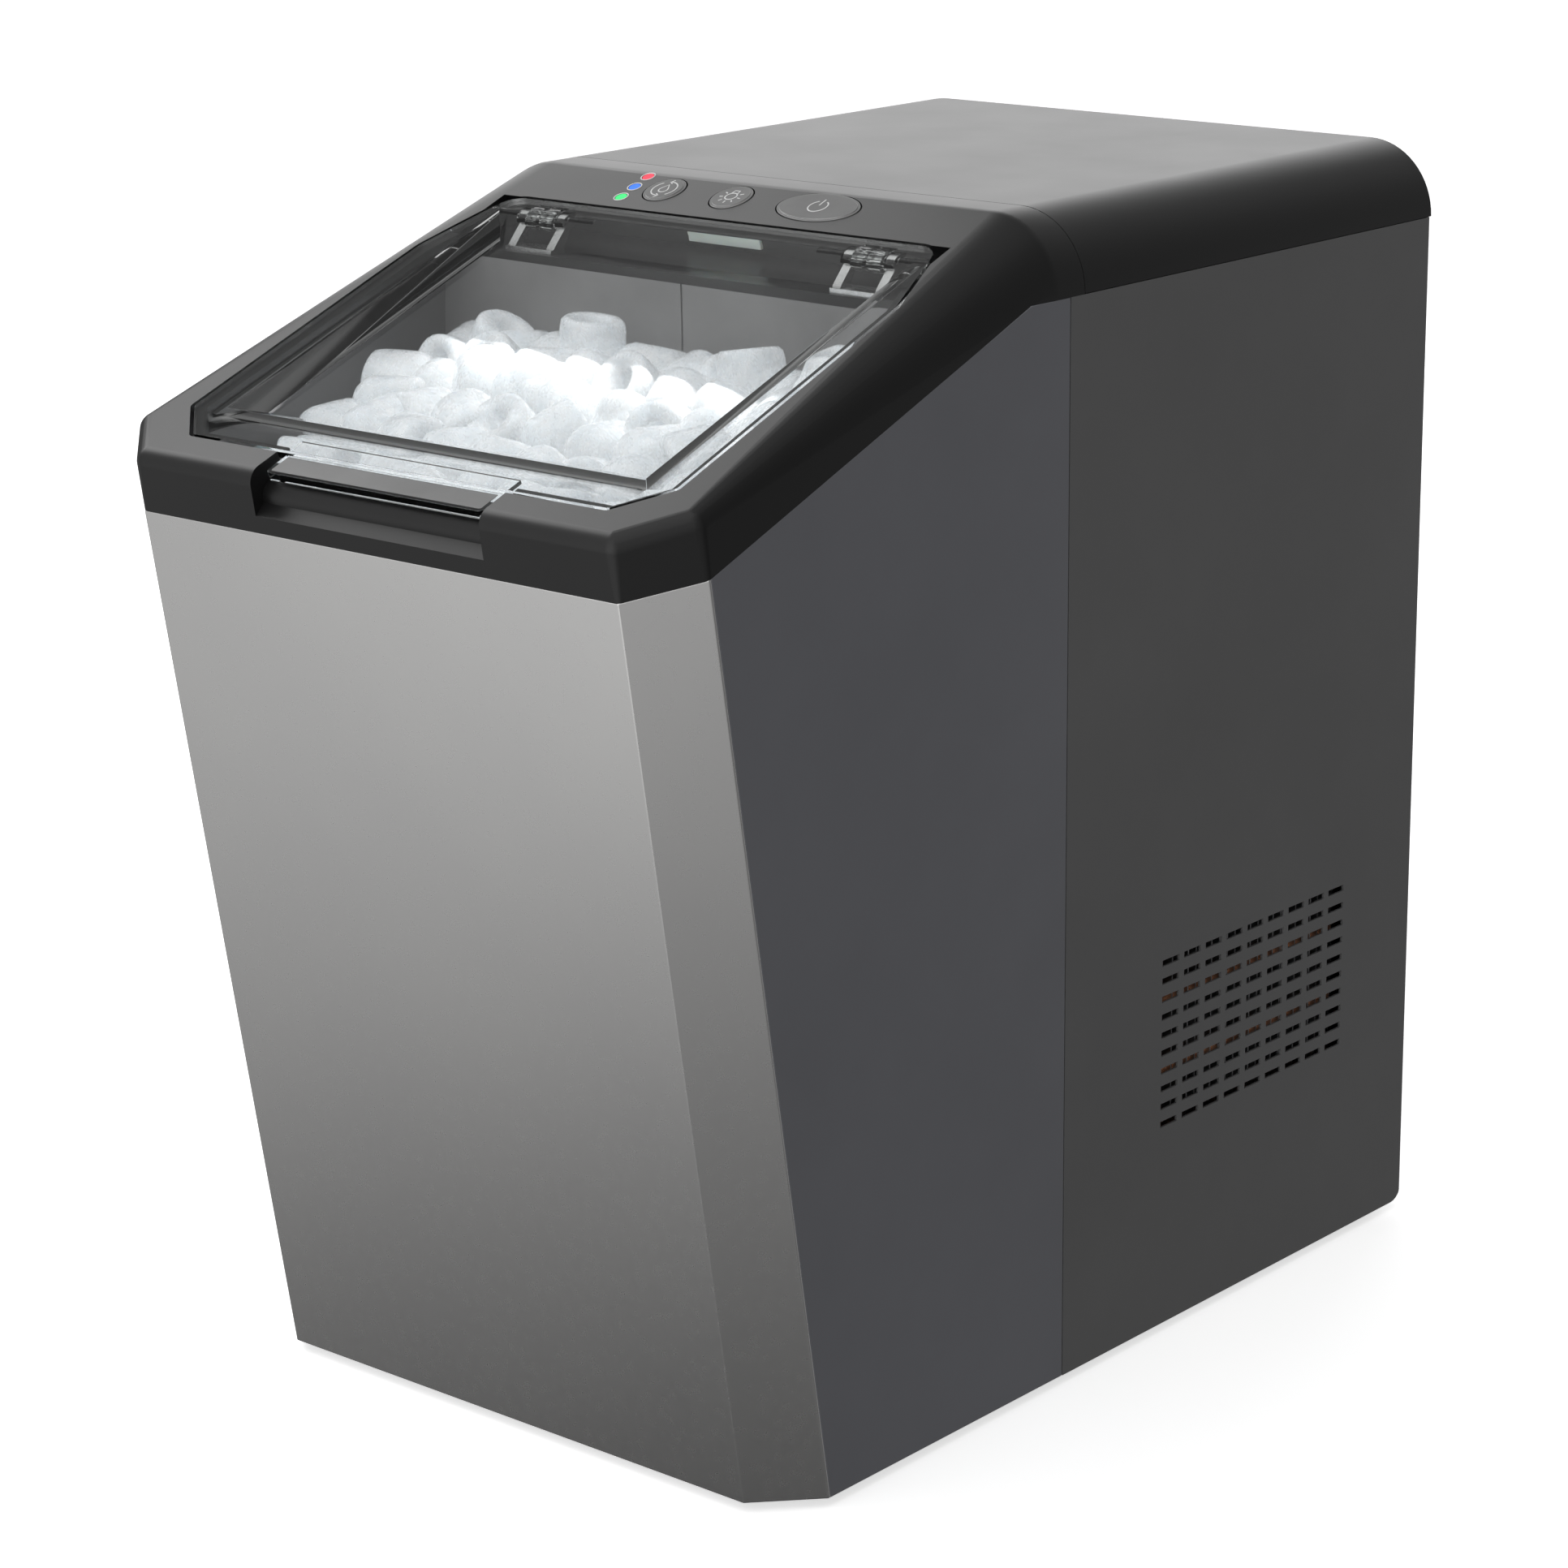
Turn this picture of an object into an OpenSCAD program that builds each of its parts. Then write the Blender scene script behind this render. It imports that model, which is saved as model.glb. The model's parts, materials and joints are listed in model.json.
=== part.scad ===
// Countertop ice maker: a wedge-fronted cabinet with a clear hinged lid over an
// ice basket, a tilting water tray with freezing fingers behind it, and a small
// refrigeration set in the rear compartment.
// Frame: origin on the table under the middle, +Y to the rear, +Z up, mm.

/* [Body] */
// Width across the side panels
body_w = 216; // [200:1:262]
// Depth from the bezel's nose to the rear wrap
body_d = 361.5; // [350:0.5:436]
// Height from the table to the flat top
body_h = 354; // [340:1:428]
// Height of the rubber feet below the base
foot_h = 3; // [2:0.5:6]
// Thickness of the steel panels
panel_t = 0.8; // [0.6:0.1:1.2]
// Wall of the moulded covers
cover_t = 2.5; // [2:0.1:3]
// Lean of the front panel from the vertical, in degrees
front_lean = 9.27; // [7:0.01:10]
// Width of the front corner chamfers across the body
chamfer_x = 16.7; // [13:0.1:20]
// Depth of the front corner chamfers along the body
chamfer_y = 17.6; // [13:0.1:20]

/* [Bezel] */
// Angle of the sloping top, in degrees
slope_angle = 20.8; // [19:0.1:21.5]
// Drop from the flat top to the nose line
slope_drop = 63.8; // [60:0.1:66]
// Depth from the nose line to the seam of the top cover
front_depth = 181.1; // [179:0.1:190]
// Height of the bezel's face above the front panel
bezel_face = 17.5; // [16:0.1:20]
// Rise of the bezel's lower edge over each chamfer
bezel_rise = 5.8; // [4:0.1:8]
// Drop from the flat top to the rear part of the side seam
shoulder_drop = 23.1; // [20:0.1:26]
// Radius of the nose edge
nose_r = 5; // [4:0.5:6]
// Radius of the long upper side edges at the rear
crown_r = 23; // [20:1:30]

/* [Lid] */
// Gap between the lid and its opening
lid_gap = 1.2; // [0.8:0.1:1.6]
// Slope distance from the nose line to the opening
rim_front = 11.9; // [11:0.1:14]
// Distance from the body's side to the opening at its widest
rim_side = 14.1; // [13:0.1:18]
// Length of the opening along the slope
opening_l = 146.4; // [140:0.1:148]
// Thickness of the lid
lid_t = 3; // [2.6:0.1:3.2]
// Depth of the window pressed into the lid
window_depth = 5; // [3:0.1:6]
// Width of the finger tab
tab_w = 84; // [60:1:100]
// Diameter of the hinge pins
hinge_pin_d = 3; // [2.5:0.1:3.4]
// Radial running clearance of pins and axles
run_gap = 0.05; // [0.02:0.01:0.09]

/* [Controls] */
// Diameter of the round buttons
button_d = 13.4; // [10:0.1:14]
// Length of the oval power button
power_l = 29.2; // [20:0.1:32]
// Width of the oval power button
power_w = 16.1; // [12:0.1:16.4]
// Travel of the buttons
button_travel = 0.8; // [0.4:0.1:1]
// Gap around the buttons
button_gap = 0.45; // [0.4:0.05:0.6]
// Diameter of the indicator lenses
lens_d = 3.6; // [3:0.1:4]

/* [Ice chamber] */
// Wall of the tank liner
liner_t = 2.5; // [2:0.1:3]
// Space between side panels and liner, filled by foam
foam_gap = 9; // [8:0.5:12]
// Height of the liner's underside above the table
liner_z = 40; // [36:1:60]
// Height of the ice basket
basket_h = 108; // [80:1:110]
// Wall of the ice basket
basket_t = 2; // [1.6:0.1:2.5]
// Outer radius of the tilting water tray
tray_r = 36; // [33:0.5:37]
// Wall of the water tray
tray_t = 2; // [1.5:0.1:2.2]
// Number of freezing fingers in the front row
front_fingers = 5; // [3:1:5]
// Length of a freezing finger
finger_l = 30; // [24:1:30]
// Diameter of a freezing finger
finger_d = 7; // [5:0.5:7]
// Diameter of the tray axle
axle_d = 6; // [4:0.5:7]

/* [Machine compartment] */
// Diameter of the compressor shell
compressor_d = 104; // [86:1:106]
// Height of the compressor shell
compressor_h = 128; // [100:1:140]
// Side of the square fan frame
fan_size = 92; // [80:1:92]
// Thickness of the fan frame
fan_t = 25; // [20:1:25]
// Diameter of the refrigerant pipes
pipe_d = 6; // [5:0.5:8]
// Number of condenser fins
fin_count = 22; // [10:1:26]

/* [Vents] */
// Length of one vent slot
slot_l = 8.7; // [6:0.1:9.4]
// Height of one vent slot
slot_h = 2; // [1.5:0.1:3]
// Columns of vent slots
vent_columns = 9; // [5:1:9]
// Rows of vent slots
vent_rows = 10; // [5:1:12]

/* [Hidden] */
$fn = 64;

far = 600;                     // well outside the body, for cutting blocks
eps = 0.01;
gap = 0.3;                     // clearance between moulded pieces
half_w = body_w / 2;
back_y = body_d / 2;
slope_t = tan(slope_angle);
lean_t = tan(front_lean);

// The nose line is where the front plane and the slope would meet if they were sharp.
nose_z = body_h - slope_drop;
nose_drop = (nose_r / cos(slope_angle) - slope_t * nose_r / cos(front_lean))
            / (1 + slope_t * lean_t);
nose_back = nose_r / cos(front_lean) + lean_t * nose_drop;
nose_y = -body_d / 2 - (nose_back - nose_r);
seam_y = nose_y + front_depth;
slope_end_y = nose_y + slope_drop / slope_t;
crown_blend = 1.2;             // half length of the blend from the slope to the flat top
panel_seam_y = seam_y - 6.7;
shoulder_z = body_h - shoulder_drop;
bezel_z = nose_z - bezel_face;
bezel_front_y = nose_y + bezel_face * lean_t;
side_edge_y = bezel_front_y + chamfer_y;
side_edge_z = bezel_z + bezel_rise;
seam_angle = slope_angle + 0.3;
shoulder_y = side_edge_y + (shoulder_z - side_edge_z) / tan(seam_angle);

// Plan of the chamfered front, seen along the leaning direction
plan_cy = chamfer_y * cos(front_lean);
plan_phi = atan2(plan_cy, chamfer_x);

// Opening of the lid, in the slope's own plane
opening_v1 = rim_front + opening_l;
front_cut = [13.7, 14.1];      // corner cut at the front of the opening, across and along
rear_cut = [10.7, 33.8];       // corner cut at the rear
side_taper = 1;
opening_x = half_w - rim_side;
rear_round = 9;
hinge_inset = 7.1;             // hinge axis to the rear edge of the opening
hinge_drop = 4.2;              // hinge axis below the lid's top face
hinge_v = opening_v1 - hinge_inset;
hinge_y = nose_y + hinge_v * cos(slope_angle) + hinge_drop * sin(slope_angle);
hinge_z = nose_z + hinge_v * sin(slope_angle) - hinge_drop * cos(slope_angle);
knuckle_x = opening_x - 30.7;
knuckle_w = 12;
knuckle_r = 3.9;
ear_w = 3;
bracket_w = knuckle_w + 2 * (gap + ear_w);
pin_l = bracket_w + 1;
ear_r = 3.4;
pin_r = hinge_pin_d / 2;
ledge_drop = 5.5;              // underside of the bezel's lid ledge, below the slope
window_v = [35.5, opening_v1 - 19.4];
window_x = opening_x - 20.9;
basin_v = [27.8, opening_v1 - 9.5];
basin_x = opening_x - 13.7;
pane_t = 2.6;
pane_edge = 1.4;               // how far the window's underside stands out of the window

// Tank liner and ice chamber
liner_x = half_w - panel_t - foam_gap;
liner_in_x = liner_x - liner_t;
liner_lean = 7;                // liner's outer face behind the front plane
liner_in_lean = liner_lean + liner_t;
wall_y = hinge_y - 11.4;       // rear wall of the ice compartment
ledge_z = hinge_z - 8.8;       // ledge under the hinge, top of the chamber roof
upstand_y = hinge_y + 8;
chamber_back = wall_y + 94;    // rear outer face of the liner
roof_z = ledge_z - liner_t;
axis_y = wall_y + 47;          // tray axis
axis_z = roof_z - 35.7;
basket_z = roof_z - 156.7;
basket_x = opening_x - 6.9;
basket_lean = liner_in_lean + 7.5;
basket_back = wall_y - 6;
mouth_z = axis_z - tray_r - 23;
shelf_z = basket_z - gap;
rack_z = axis_z - tray_r - 5;
drain_y = wall_y - 52;
drain_r = 6;
drain_pipe_r = drain_r + 3;
cap_r = 13;

// Water tray, between the gearmotor and the axle
tray_x0 = -liner_in_x + 33.7;
tray_x1 = liner_in_x - 15.7;
hub_r = 6.5;
axle_r = axle_d / 2;
plate_x0 = tray_x0 + 8;
plate_x1 = tray_x1 - 12;
row_y = 8;

// Machine compartment
machine_y = chamber_back;
base_floor = 2.5;
base_rim = 17;
floor_z = foot_h + base_floor;
comp_x = -half_w + 62;
comp_y = machine_y + (back_y - machine_y) / 2;
comp_z = floor_z + 14.5;
comp_r = compressor_d / 2;      // at the seam flange
shell_r = comp_r - 4;
cond_x1 = half_w - panel_t - 5.2;
cond_t = 20;
cond_x0 = cond_x1 - cond_t;
shroud_t = 4;
fan_x1 = cond_x0 - shroud_t;
fan_y = back_y - 81;
fan_z = foot_h + 90;
fan_r = fan_size / 2 - 4;
pipe_r = pipe_d / 2;
attic_z = ledge_z + 7;         // pipes run here, above the chamber roof
vent_pitch_y = 11.27;
vent_pitch_z = 5.77;
vent_y0 = back_y - 138.6;
vent_z0 = foot_h + 65.1;
foot_x = half_w - 28;
rear_foot_x = half_w - 48;
foot_y0 = nose_y + nose_z * lean_t + 32;
foot_y1 = back_y - 22;

// Controls, in the slope's own plane
button_v = (slope_end_y - nose_y) / cos(slope_angle) - 8.9;
clean_x = -31.6;
light_x = -5.3;
power_x = 28;
lens_x = -43.7;
lens_pitch = 6.5;
board_w0 = -12.6;
board_w1 = -11;
plunger_w = -10.3;
cap_w0 = -3;
cap_w1 = 0.2;

// ---------- helpers ----------

function unit(v) = v / norm(v);
function inward(a, b) = let (e = unit(b - a)) [-e.y, e.x];
function corner(p, q, s, d) = let (n0 = inward(p, q), n1 = inward(q, s))
    q + d * (n0 + n1) / (1 + n0 * n1);
function before(pts, i) = pts[(i + len(pts) - 1) % len(pts)];
function after(pts, i) = pts[(i + 1) % len(pts)];
// Moves every side of a convex counterclockwise outline inward by d
function inset(pts, d) = [for (i = [0:len(pts) - 1])
    corner(before(pts, i), pts[i], after(pts, i), d)];
// Rounds each corner of a convex counterclockwise outline with its own radius
function rounded(pts, radii, steps = 6) = [for (i = [0:len(pts) - 1])
    let (n0 = inward(before(pts, i), pts[i]), n1 = inward(pts[i], after(pts, i)),
         c = corner(before(pts, i), pts[i], after(pts, i), radii[i]),
         a0 = atan2(-n0.y, -n0.x), turn = acos(max(-1, min(1, n0 * n1))),
         n = radii[i] > 0 ? steps : 0)
    for (k = [0:n]) c + radii[i] * (n > 0
        ? [cos(a0 + turn * k / n), sin(a0 + turn * k / n)] : [0, 0])];
function rect(x0, y0, x1, y1) = [[x0, y0], [x1, y0], [x1, y1], [x0, y1]];
function ellipse(a, b, n = 48) = [for (i = [0:n - 1]) [a * cos(i * 360 / n), b * sin(i * 360 / n)]];

// A block given by its two corners
module block(a, b) { translate(a) cube(b - a); }

// A cylinder from point a along one axis
module rod_x(x0, x1, y, z, r) { translate([x0, y, z]) rotate([0, 90, 0]) cylinder(h = x1 - x0, r = r); }
module rod_y(y0, y1, x, z, r) { translate([x, y0, z]) rotate([-90, 0, 0]) cylinder(h = y1 - y0, r = r); }
module rod_z(z0, z1, x, y, r) { translate([x, y, z0]) cylinder(h = z1 - z0, r = r); }

// An outline in the Y-Z plane, extruded across the body
module across(x0, x1) { translate([x0, 0, 0]) rotate([90, 0, 90]) linear_extrude(x1 - x0) children(); }

// An outline in the X-Z plane, extruded along the body
module along(y0, y1) { translate([0, y1, 0]) rotate([90, 0, 0]) linear_extrude(y1 - y0) children(); }

// A pipe through a list of points, with a ball at each bend that just stands out of the runs
module pipe(pts, r) {
    for (i = [0:len(pts) - 2]) {
        d = pts[i + 1] - pts[i];
        translate(pts[i])
            rotate([0, acos(d.z / norm(d)), atan2(d.y, d.x)])
                cylinder(h = norm(d), r = r, $fn = 24);
    }
    for (i = [1:1:len(pts) - 2])
        translate(pts[i]) sphere(r = r + 0.05, $fn = 24);
}

// The slope's own frame: X across, Y up the slope, Z out of it
module on_slope() { translate([0, nose_y, nose_z]) rotate([slope_angle, 0, 0]) children(); }

// Plan of the leaning front, inset by d, seen along the lean
function lean_plan(d) = [
    [half_w - d, far], [-half_w + d, far],
    [-half_w + d, plan_cy + d * tan(45 - plan_phi / 2)],
    [-(half_w - chamfer_x - d * tan(plan_phi / 2)), d],
    [half_w - chamfer_x - d * tan(plan_phi / 2), d],
    [half_w - d, plan_cy + d * tan(45 - plan_phi / 2)]];

// Everything behind the front plane and chamfers, inset by d
module lean_front(d) {
    translate([0, nose_y, nose_z]) rotate([front_lean, 0, 0])
        translate([0, 0, -far]) linear_extrude(2 * far) polygon(lean_plan(d));
}

// Region above the panels' top edge, lowered by d
module above_seam(d, y1) {
    across(-far, far)
        polygon([[-far, bezel_z - d], [bezel_front_y, bezel_z - d], [side_edge_y, side_edge_z - d],
                 [shoulder_y, shoulder_z - d], [y1, shoulder_z - d], [y1, far], [-far, far]]);
}

// Region below the panels' top edge
module below_seam(y1) {
    across(-far, far)
        polygon([[-far, -far], [y1, -far], [y1, shoulder_z], [shoulder_y, shoulder_z],
                 [side_edge_y, side_edge_z], [bezel_front_y, bezel_z], [-far, bezel_z]]);
}

// ---------- outer panels ----------

module front_panel() {
    color("silver") intersection() {
        difference() {
            lean_front(0);
            lean_front(panel_t);
            across(-far, far) polygon([
                [side_edge_y, side_edge_z], [side_edge_y + (side_edge_z - foot_h) * lean_t, foot_h],
                [side_edge_y + (side_edge_z + far) * lean_t, -far], [far, -far], [far, far],
                [side_edge_y, far]]);
        }
        block([-far, -far, foot_h], [far, far, far]);
        below_seam(far);
    }
}

module side_panel(side) {
    bottom_y = side_edge_y + (side_edge_z - foot_h) * lean_t;
    x0 = side > 0 ? half_w - panel_t : -half_w;
    across(x0, x0 + panel_t)
        polygon([[bottom_y, foot_h], [panel_seam_y - gap / 2, foot_h],
                 [panel_seam_y - gap / 2, shoulder_z], [shoulder_y, shoulder_z],
                 [side_edge_y, side_edge_z]]);
}

module left_side_panel() { color("dimgray") side_panel(-1); }
module right_side_panel() { color("dimgray") side_panel(1); }

wrap_bend = 1.5;
wrap_corner = 6;

module vent_slots() {
    for (i = [0:vent_columns - 1], j = [0:vent_rows - 1])
        translate([-far, vent_y0 + i * vent_pitch_y, vent_z0 + j * vent_pitch_z])
            cube([2 * far, slot_l, slot_h]);
}

screw_r = 1.5;
head_r = 3;
screw_l = 8;
screw_inset = 12;              // from the corners of the body
function screw_sites() = [for (s = [-1, 0, 1], z = [foot_h + 10, shoulder_z - 8])
    [s * (half_w - screw_inset), z]];
gland_x = half_w - 38;
gland_z = foot_h + 36;
gland_r = 9;
gland_l = 12;
cord_r = 3.6;                  // bore for the mains cord

// Countersunk head of a case screw, as deep as the panel
module screw_head(p) {
    translate([p.x, back_y - panel_t, p.y]) rotate([-90, 0, 0])
        cylinder(h = panel_t, r1 = screw_r, r2 = head_r);
}

module wrap_outline(d, front) {
    polygon(rounded(rect(-half_w + d, front, half_w - d, back_y - d),
                    [0, 0, wrap_bend - d, wrap_bend - d]));
}

module rear_wrap() {
    y0 = panel_seam_y + gap / 2;
    color("#464646") difference() {
        intersection() {
            translate([0, 0, foot_h]) linear_extrude(shoulder_z - foot_h) difference() {
                wrap_outline(0, y0);
                wrap_outline(panel_t, y0 - 10);
            }
            across(-far, far) polygon(rounded(rect(y0, foot_h, back_y, shoulder_z),
                                              [0, wrap_corner, 0, 0]));
        }
        vent_slots();
        for (p = screw_sites()) screw_head(p);
        rod_y(back_y - 5, back_y + 5, gland_x, gland_z, gland_r);
    }
}

// ---------- bezel and top cover ----------

// Centre of the nose rounding for a plan line yp behind the front plane
function nose_centre(yp) = let (dz = (nose_r / cos(slope_angle) - slope_t * yp / cos(front_lean))
                                     / (1 + slope_t * lean_t))
    [nose_y + yp / cos(front_lean) + lean_t * dz, nose_z - dz];

// A ball with vertices at its poles and on its equator
module ball(r) {
    rotate_extrude($fn = 32)
        polygon([for (i = [0:16]) r * [sin(i * 11.25), cos(i * 11.25)]]);
}

// Top profile of the body in the X-Z plane, inset by d
module crown_profile(top, d, bottom) {
    r = crown_r - d;
    x = half_w - crown_r;
    polygon(concat([[half_w - d, bottom]],
        [for (i = [0:12]) [x, top - crown_r] + r * [cos(i * 7.5), sin(i * 7.5)]],
        [for (i = [12:-1:0]) [-x, top - crown_r] + r * [-cos(i * 7.5), sin(i * 7.5)]],
        [[-half_w + d, bottom]]));
}

// The convex outer shape of the bezel, inset by d, to the plane y1
module envelope(d, y1) {
    low_z = bezel_z - 16;
    low_y = nose_y + (nose_z - low_z) * lean_t;
    corner_y = plan_cy + nose_r * tan(45 - plan_phi / 2);
    front_c = nose_centre(nose_r);
    side_c = nose_centre(corner_y);
    front_x = half_w - chamfer_x - nose_r * tan(plan_phi / 2);
    a_y = slope_end_y - crown_blend;
    b_y = slope_end_y + crown_blend;
    low_front = [front_x + (nose_r - d) * tan(plan_phi / 2), low_y + d / cos(front_lean)];
    low_side = [half_w - d, low_y + (plan_cy + d * tan(45 - plan_phi / 2)) / cos(front_lean)];
    hull() {
        for (s = [-1, 1]) {
            translate([s * front_x, front_c.x, front_c.y]) ball(nose_r - d);
            translate([s * (half_w - nose_r), side_c.x, side_c.y]) ball(nose_r - d);
        }
        translate([0, 0, low_z]) linear_extrude(2)
            polygon([low_front, low_side, [low_side.x, y1], [-low_side.x, y1],
                     [-low_side.x, low_side.y], [-low_front.x, low_front.y]]);
        along(a_y, b_y) crown_profile(body_h - crown_blend * slope_t, d, low_z);
        along(b_y, y1) crown_profile(body_h, d, low_z);
    }
}

// Opening for the lid in the slope's plane, counterclockwise from front right
function opening_outline() = [
    [opening_x - front_cut.x, rim_front], [opening_x, rim_front + front_cut.y],
    [opening_x - side_taper, opening_v1 - rear_cut.y], [opening_x - rear_cut.x, opening_v1],
    [-opening_x + rear_cut.x, opening_v1], [-opening_x + side_taper, opening_v1 - rear_cut.y],
    [-opening_x, rim_front + front_cut.y], [-opening_x + front_cut.x, rim_front]];
opening_radii = [3, 3, 12, rear_round, rear_round, 12, 3, 3];
function opening_path(d) = rounded(inset(opening_outline(), d), [for (r = opening_radii) max(0, r - d)]);

module opening_prism(d, w0, w1) {
    on_slope() translate([0, 0, w0]) linear_extrude(w1 - w0) polygon(opening_path(d));
}

// Finger recess: across the body, the profile cut out of the nose
notch_w = tab_w + 4;
notch_floor = -5.6;
notch_r = 5;
function notch_arc() = [for (i = [0:6]) [6.8, notch_floor - notch_r] + notch_r * [-cos(i * 15), sin(i * 15)]];
module notch_profile() {
    polygon(concat([[-far, notch_floor - 6.8], [-2.5, notch_floor - 6.8]], notch_arc(),
                   [[rim_front + 8, notch_floor], [rim_front + 8, far], [-far, far]]));
}
module notch() {
    on_slope() translate([-notch_w / 2, 0, 0]) rotate([90, 0, 90])
        linear_extrude(notch_w) notch_profile();
}

button_sites = [[clean_x, button_d / 2, button_d / 2], [light_x, button_d / 2, button_d / 2],
                [power_x, power_l / 2, power_w / 2]];

module front_bezel() {
    y1 = seam_y - gap / 2;
    color("#202020") difference() {
        union() {
            difference() {
                union() {
                    intersection() { envelope(0, y1); above_seam(0, far); }
                    intersection() { envelope(panel_t + 0.1, y1); above_seam(6, far); }
                }
                envelope(cover_t, y1 + 10);
            }
            // wall of the opening, ledge for the lid and backing of the finger recess
            intersection() {
                opening_prism(-5, -ledge_drop, -cover_t + 0.4);
                on_slope() block([-far, -far, -far], [far, opening_v1 + 2, far]);
            }
            intersection() {
                envelope(0.5, y1);
                on_slope() {
                    block([-notch_w / 2 - cover_t, -6, notch_floor - cover_t],
                          [notch_w / 2 + cover_t, rim_front, -1]);
                    block([-notch_w / 2 - cover_t, -6, -13], [notch_w / 2 + cover_t, 4.4, -1]);
                }
                above_seam(-3, far);
            }
            // posts that carry the control board
            on_slope() for (x = [lens_x - 4.3, power_x + 16]) translate([x, button_v + 7, board_w1])
                cylinder(h = -board_w1 - 1, r = 1.5);
        }
        opening_prism(0, -lid_t - gap, far);
        // inside edge of the ledge
        difference() {
            opening_prism(4.5, -far, 0);
            on_slope() block([-far, -far, -far], [far, rim_front + 0.5, far]);
        }
        // behind the hinge the ledge stops, and the lid's rear edge swings in a round pocket
        on_slope() block([-opening_x + rear_cut.x - 6, hinge_v - 16, -ledge_drop - 1],
                         [opening_x - rear_cut.x + 6, hinge_v, -lid_t]);
        intersection() {
            rod_x(-far, far, hinge_y, hinge_z, hinge_inset + 0.7);
            opening_prism(0, -far, far);
        }
        rod_x(-opening_x + rear_cut.x - 3, opening_x - rear_cut.x + 3,
              hinge_y, hinge_z, hinge_inset + 0.7);
        notch();
        on_slope() for (b = button_sites)
            translate([b.x, button_v, -far]) linear_extrude(2 * far)
                if (b.y == b.z) circle(b.y + button_gap);
                else polygon(ellipse(b.y + button_gap, b.z + button_gap));
        on_slope() for (i = [-1, 0, 1])
            translate([lens_x, button_v + i * lens_pitch, -20]) cylinder(h = 40, r = lens_d / 2 + 0.15);
    }
}

module cover_profile(d, bottom) {
    x = half_w - crown_r;
    difference() {
        union() {
            translate([-half_w + d, bottom]) square([body_w - 2 * d, body_h - crown_r - bottom]);
            translate([-x, bottom]) square([2 * x, body_h - d - bottom]);
            for (s = [-1, 1]) translate([s * x, body_h - crown_r]) circle(crown_r - d, $fn = 128);
        }
        translate([-far, bottom - far]) square([2 * far, far]);
    }
}

module top_cover() {
    y0 = seam_y + gap / 2;
    color("#2a2a2a") difference() {
        union() {
            along(y0, back_y) cover_profile(0, shoulder_z + 0.2);
            intersection() {
                along(y0, back_y) cover_profile(panel_t + 0.1, shoulder_z - 14);
                translate([0, 0, shoulder_z - 14]) linear_extrude(far) wrap_outline(panel_t + 0.1, y0);
            }
        }
        along(y0 - 1, back_y - cover_t - 0.1) cover_profile(cover_t, shoulder_z - 20);
        for (p = screw_sites()) rod_y(back_y - screw_l - 1, back_y, p.x, p.y, screw_r);
    }
}

// ---------- lid and hinge ----------

module lid() {
    color([0.85, 0.9, 0.92, 0.5]) difference() {
        union() {
            on_slope() translate([0, 0, -lid_t]) linear_extrude(lid_t)
                polygon(opening_path(lid_gap));
            on_slope() hull() {
                translate([0, 0, -lid_t]) linear_extrude(0.5)
                    polygon(rect(-basin_x - pane_t, basin_v[0] - pane_t,
                                 basin_x + pane_t, basin_v[1] + pane_t));
                translate([0, 0, -window_depth - pane_t]) linear_extrude(0.5)
                    polygon(rect(-window_x - pane_edge, window_v[0] - pane_edge,
                                 window_x + pane_edge, window_v[1] + pane_edge));
            }
            // finger tab, stepped down from the front edge
            on_slope() translate([0, 0, -4.2]) linear_extrude(2.6)
                polygon(rounded(rect(-tab_w / 2, 3.9, tab_w / 2, rim_front + 8), [2, 2, 0, 0]));
            on_slope() block([-tab_w / 2, rim_front + lid_gap, -4.2], [tab_w / 2, rim_front + 8, -1]);
            for (s = [-1, 1]) {
                rod_x(s * knuckle_x - knuckle_w / 2, s * knuckle_x + knuckle_w / 2,
                      hinge_y, hinge_z, knuckle_r);
                on_slope() block([s * knuckle_x - knuckle_w / 2, hinge_v - knuckle_r + 0.6, -hinge_drop],
                                 [s * knuckle_x + knuckle_w / 2, hinge_v + knuckle_r - 0.6, -1]);
            }
        }
        on_slope() hull() {
            translate([0, 0, 0.5]) linear_extrude(0.5)
                polygon(rect(-basin_x - 0.7, basin_v[0] - 0.7, basin_x + 0.7, basin_v[1] + 0.7));
            translate([0, 0, -window_depth]) linear_extrude(0.5)
                polygon(rect(-window_x, window_v[0], window_x, window_v[1]));
        }
        for (s = [-1, 1]) {
            rod_x(s * knuckle_x - 20, s * knuckle_x + 20, hinge_y, hinge_z, pin_r + run_gap);
            for (e = [-1, 1]) {
                x = s * knuckle_x + e * (knuckle_w / 2 + gap + ear_w / 2);
                rod_x(x - ear_w / 2 - gap, x + ear_w / 2 + gap, hinge_y, hinge_z, ear_r + gap);
            }
        }
    }
}

function ear_sites() = [for (s = [-1, 1], e = [-1, 1])
    s * knuckle_x + e * (knuckle_w / 2 + gap + ear_w / 2)];

module hinge_brackets() {
    color("gray") difference() {
        union() {
            for (x = ear_sites()) {
                rod_x(x - ear_w / 2, x + ear_w / 2, hinge_y, hinge_z, ear_r);
                across(x - ear_w / 2, x + ear_w / 2)
                    polygon([[hinge_y - 2.4, hinge_z - 2.4], [hinge_y - 8, ledge_z + 1],
                             [hinge_y - 3, ledge_z + 1], [hinge_y, hinge_z - ear_r + 0.2]]);
            }
            for (s = [-1, 1])
                block([s * knuckle_x - bracket_w / 2, wall_y + 2.5, ledge_z],
                      [s * knuckle_x + bracket_w / 2, hinge_y - 3, ledge_z + 1.2]);
        }
        rod_x(-far, far, hinge_y, hinge_z, pin_r);
    }
}

module hinge_pins() {
    color("silver") for (s = [-1, 1])
        rod_x(s * knuckle_x - pin_l / 2, s * knuckle_x + pin_l / 2, hinge_y, hinge_z, pin_r);
}

// ---------- controls ----------

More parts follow.
